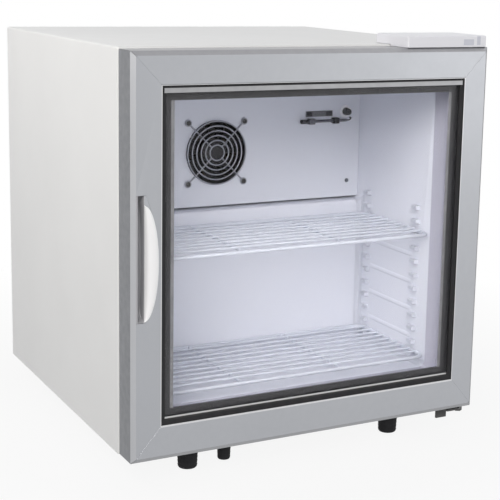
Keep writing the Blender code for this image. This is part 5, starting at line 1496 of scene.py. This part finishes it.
@dataclass
class Machinery:
    """The evaporator, the tray and the compressor unit behind and below the compartment."""

    fin_pitch: float = 0.0034
    fin_thick: float = 0.0003
    fin_inset: float = 0.001
    end_plate: float = 0.0009
    tube: float = 0.0040
    tube_rows: int = 4

    def build(self) -> None:
        """Dress or rebuild the parts that stay out of sight."""
        for finish, nodes in ((FOAM, ("foam_insulation",)), (GLASS, ("outer_pane", "inner_pane")),
                              (ZINC, ("machine_shield", "top_left_key", "top_right_key", "bottom_left_key",
                                      "bottom_right_key", "thermostat")), (SPACER_GREY, ("spacer_frame",)),
                              (BLACK_MOULDING, ("top_hinge_bush", "bottom_hinge_bush"))):
            for node in nodes:
                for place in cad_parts[node].material_slots:
                    place.material = finish.material()
                LOG.info("%s dressed", node)
        for node, name, finish, edge in (
                ("drip_tray", "moulded_tray", LINER, 0.0006),
                ("drain_tube", "drain_hose", GREY_RUBBER, 0.0003),
                ("compressor", "welded_compressor", BLACK_PAINT, 0.0012),
                ("relay_box", "relay_cover", BLACK_MOULDING, 0.0020),
                ("condenser_tube", "bent_condenser_tube", COPPER, 0.0),
                ("evaporator_tube", "bent_evaporator_tube", DULL_COPPER, 0.0),
                ("filter_drier", "swaged_drier", COPPER, 0.0),
                ("discharge_pipe", "bent_discharge_pipe", COPPER, 0.0),
                ("suction_pipe", "bent_suction_pipe", COPPER, 0.0),
                ("capillary_tube", "bent_capillary", COPPER, 0.0)):
            recast(node, name, finish, edge, smooth=50.0)
        for node in ("front_left_mount", "front_right_mount", "rear_left_mount", "rear_right_mount"):
            ribbed(node)
        for node in ("evaporator_fins", "condenser_fins"):
            self.fins(node)

    def fins(self, node: str) -> None:
        """Stack thin fins on level tubes between two end plates.

        Args:
            node: The finned block that they replace.
        """
        low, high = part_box(node)
        count = int((high.x - low.x - 2 * self.end_plate) / self.fin_pitch)
        start = (low.x + high.x - (count - 1) * self.fin_pitch) / 2
        half, inset = self.fin_thick / 2, self.fin_inset
        fin = block("fin", (-half, low.y + inset, low.z + inset), (half, high.y - inset, high.z - inset))
        grown(fin, ROW, MILL_ALUMINIUM, Count=count, Start=(start, 0.0, 0.0), Step=(self.fin_pitch, 0.0, 0.0))
        plates = [block("end", (x, low.y, low.z), (x + self.end_plate, high.y, high.z), 0.0002)
                  for x in (low.x, high.x - self.end_plate)]
        level = [low.z + (high.z - low.z) * (row + 0.5) / self.tube_rows for row in range(self.tube_rows)]
        middle = (low.y + high.y) / 2
        tubes = path_piece("tubes", [([(low.x + half, middle, z), (high.x - half, middle, z)], False)
                                     for z in level])
        grown(tubes, WIRE, MILL_ALUMINIUM, Radius=self.tube, Bend=0.0)
        fitted(joined(f"dense_{node}", [fin, *plates, tubes]), Body.CABINET, MILL_ALUMINIUM, node)


# Studio

@dataclass(frozen=True)
class Lamp:
    """A soft rectangular lamp that looks at a point."""

    name: str
    place: Point
    aim: Point
    power: float
    width: float
    height: float
    colour: Colour = (1.0, 1.0, 1.0)

    def build(self) -> None:
        """Hang the lamp."""
        data = bpy.data.lights.new(self.name, "AREA")
        data.shape, data.size, data.size_y = "RECTANGLE", self.width, self.height
        data.energy, data.color = self.power, self.colour
        lamp = bpy.data.objects.new(self.name, data)
        lamp.visible_camera = False
        lamp.location = self.place
        lamp.rotation_euler = (Vector(self.aim) - Vector(self.place)).to_track_quat("-Z", "Y").to_euler()
        bpy.context.scene.collection.objects.link(lamp)


@dataclass
class Studio:
    """A plain pale floor, a white surround, soft lamps and the camera."""

    eye: Point = (-0.74385, -1.53847, 0.60377)
    tilt: float = -0.17993
    heading: float = -0.50392
    roll: float = 0.0236
    focal: float = 91.527
    shift: float = -0.1
    ambient: float = 0.38
    sky: Colour = (0.92, 0.95, 1.0)
    warm: Colour = (1.0, 0.97, 0.93)
    floor_half: float = 6.0
    floor_grey: float = 0.55
    fade: Flat = (0.35, 0.9)
    shadow: float = 0.10

    def build(self) -> None:
        """Build the studio."""
        bpy.context.scene.view_settings.view_transform = "Standard"
        self.camera()
        self.world()
        self.floor()
        for lamp in (Lamp("key", (-1.6, -2.2, 1.75), (0.0, 0.0, 0.25), 49.0, 1.8, 1.5, self.warm),
                     Lamp("fill", (2.2, -2.0, 0.4), (0.0, 0.0, 0.25), 8.0, 2.0, 1.6),
                     Lamp("side", (-0.62, 0.0, 0.66), (-0.24, 0.0, 0.40), 1.10, 0.9, 0.2, self.warm),
                     Lamp("top", (0.85, 0.15, 1.2), (0.2, 0.0, 0.5), 1.6, 0.8, 0.8)):
            lamp.build()

    def camera(self) -> None:
        """Set the camera at the photograph's viewing angle."""
        data = bpy.data.cameras.new("view")
        data.sensor_width, data.lens, data.clip_start = 36.0, self.focal, 0.05
        data.shift_x = data.shift_y = self.shift
        view = bpy.data.objects.new("view", data)
        along, across, flat = math.cos(self.heading), math.sin(self.heading), math.cos(self.tilt)
        ahead = Vector((-across * flat, along * flat, math.sin(self.tilt)))
        level = Vector((along, across, 0.0))
        rise = level.cross(ahead)
        right = level * math.cos(self.roll) + rise * math.sin(self.roll)
        up = rise * math.cos(self.roll) - level * math.sin(self.roll)
        rows = zip(right, up, -ahead, self.eye)
        view.matrix_world = Matrix((*rows, (0.0, 0.0, 0.0, 1.0)))
        bpy.context.scene.collection.objects.link(view)
        bpy.context.scene.camera = view

    def seen(self, tree: NodeTree) -> Socket:
        """Return a mask that is one for what the camera, metal and glass see.

        Args:
            tree: The tree that gets the nodes.

        Returns:
            The mask's socket.
        """
        light = add(tree, "ShaderNodeLightPath").node.outputs
        first = add(tree, "ShaderNodeMath", {0: light["Is Camera Ray"], 1: light["Is Glossy Ray"]},
                    operation="MAXIMUM")
        return add(tree, "ShaderNodeMath", {0: first, 1: light["Is Transmission Ray"]}, operation="MAXIMUM")

    def world(self) -> None:
        """Make a white surround that lights the object more softly than it looks."""
        world = bpy.data.worlds.new("white surround")
        bpy.context.scene.world = world
        world.use_nodes = True
        tree = world.node_tree
        tree.nodes.clear()
        lighting = add(tree, "ShaderNodeBackground", {"Color": (*self.sky, 1.0), "Strength": self.ambient})
        white = add(tree, "ShaderNodeBackground", {"Color": (1.0, 1.0, 1.0, 1.0), "Strength": 1.0})
        mix = add(tree, "ShaderNodeMixShader", {0: self.seen(tree), 1: lighting, 2: white})
        add(tree, "ShaderNodeOutputWorld", {0: mix})

    def floor(self) -> None:
        """Lay a pale floor that keeps the object's shadow and fades into the surround."""
        bm = bmesh.new()
        half = self.floor_half
        bm.faces.new([bm.verts.new((x * half, y * half, 0.0))
                      for x, y in ((-1, -1), (1, -1), (1, 1), (-1, 1))])
        floor = object_from("floor", bm)
        made = bpy.data.materials.new("pale floor")
        made.use_nodes = True
        tree = made.node_tree
        shader = tree.nodes["Principled BSDF"]
        grey = self.floor_grey
        put(shader, {"Base Color": (grey, grey, grey, 1.0), "Roughness": 0.9, "Specular IOR Level": 0.1})
        where = add(tree, "ShaderNodeTexCoord", out="Object")
        away = add(tree, "ShaderNodeVectorMath", {0: where}, 1, operation="LENGTH")
        near = add(tree, "ShaderNodeMapRange", {0: away, 1: self.fade[0], 2: self.fade[1], 3: self.shadow,
                                                4: 0.0})
        glow = add(tree, "ShaderNodeEmission", {"Color": (1.0, 1.0, 1.0, 1.0), "Strength": 1.0})
        soft = add(tree, "ShaderNodeMixShader", {0: near, 1: glow, 2: shader.outputs[0]})
        mix = add(tree, "ShaderNodeMixShader", {0: self.seen(tree), 1: shader.outputs[0], 2: soft})
        to_surface(tree, mix)
        floor.data.materials.append(made)


def main() -> None:
    """Build the scene in order, and log each part as it is built."""
    logging.basicConfig(level=logging.INFO, format="%(message)s")
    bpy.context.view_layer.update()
    for part in (Studio(), Shell(), Interior(), Door(), Grip(), Hinges(), Fan(), Thermostat(),
                 Rack("upper_shelf", Body.UPPER_RACK), Rack("lower_shelf", Body.LOWER_RACK), Machinery()):
        part.build()
        LOG.info("%s built", type(part).__name__)


if __name__ == "__main__":
    main()
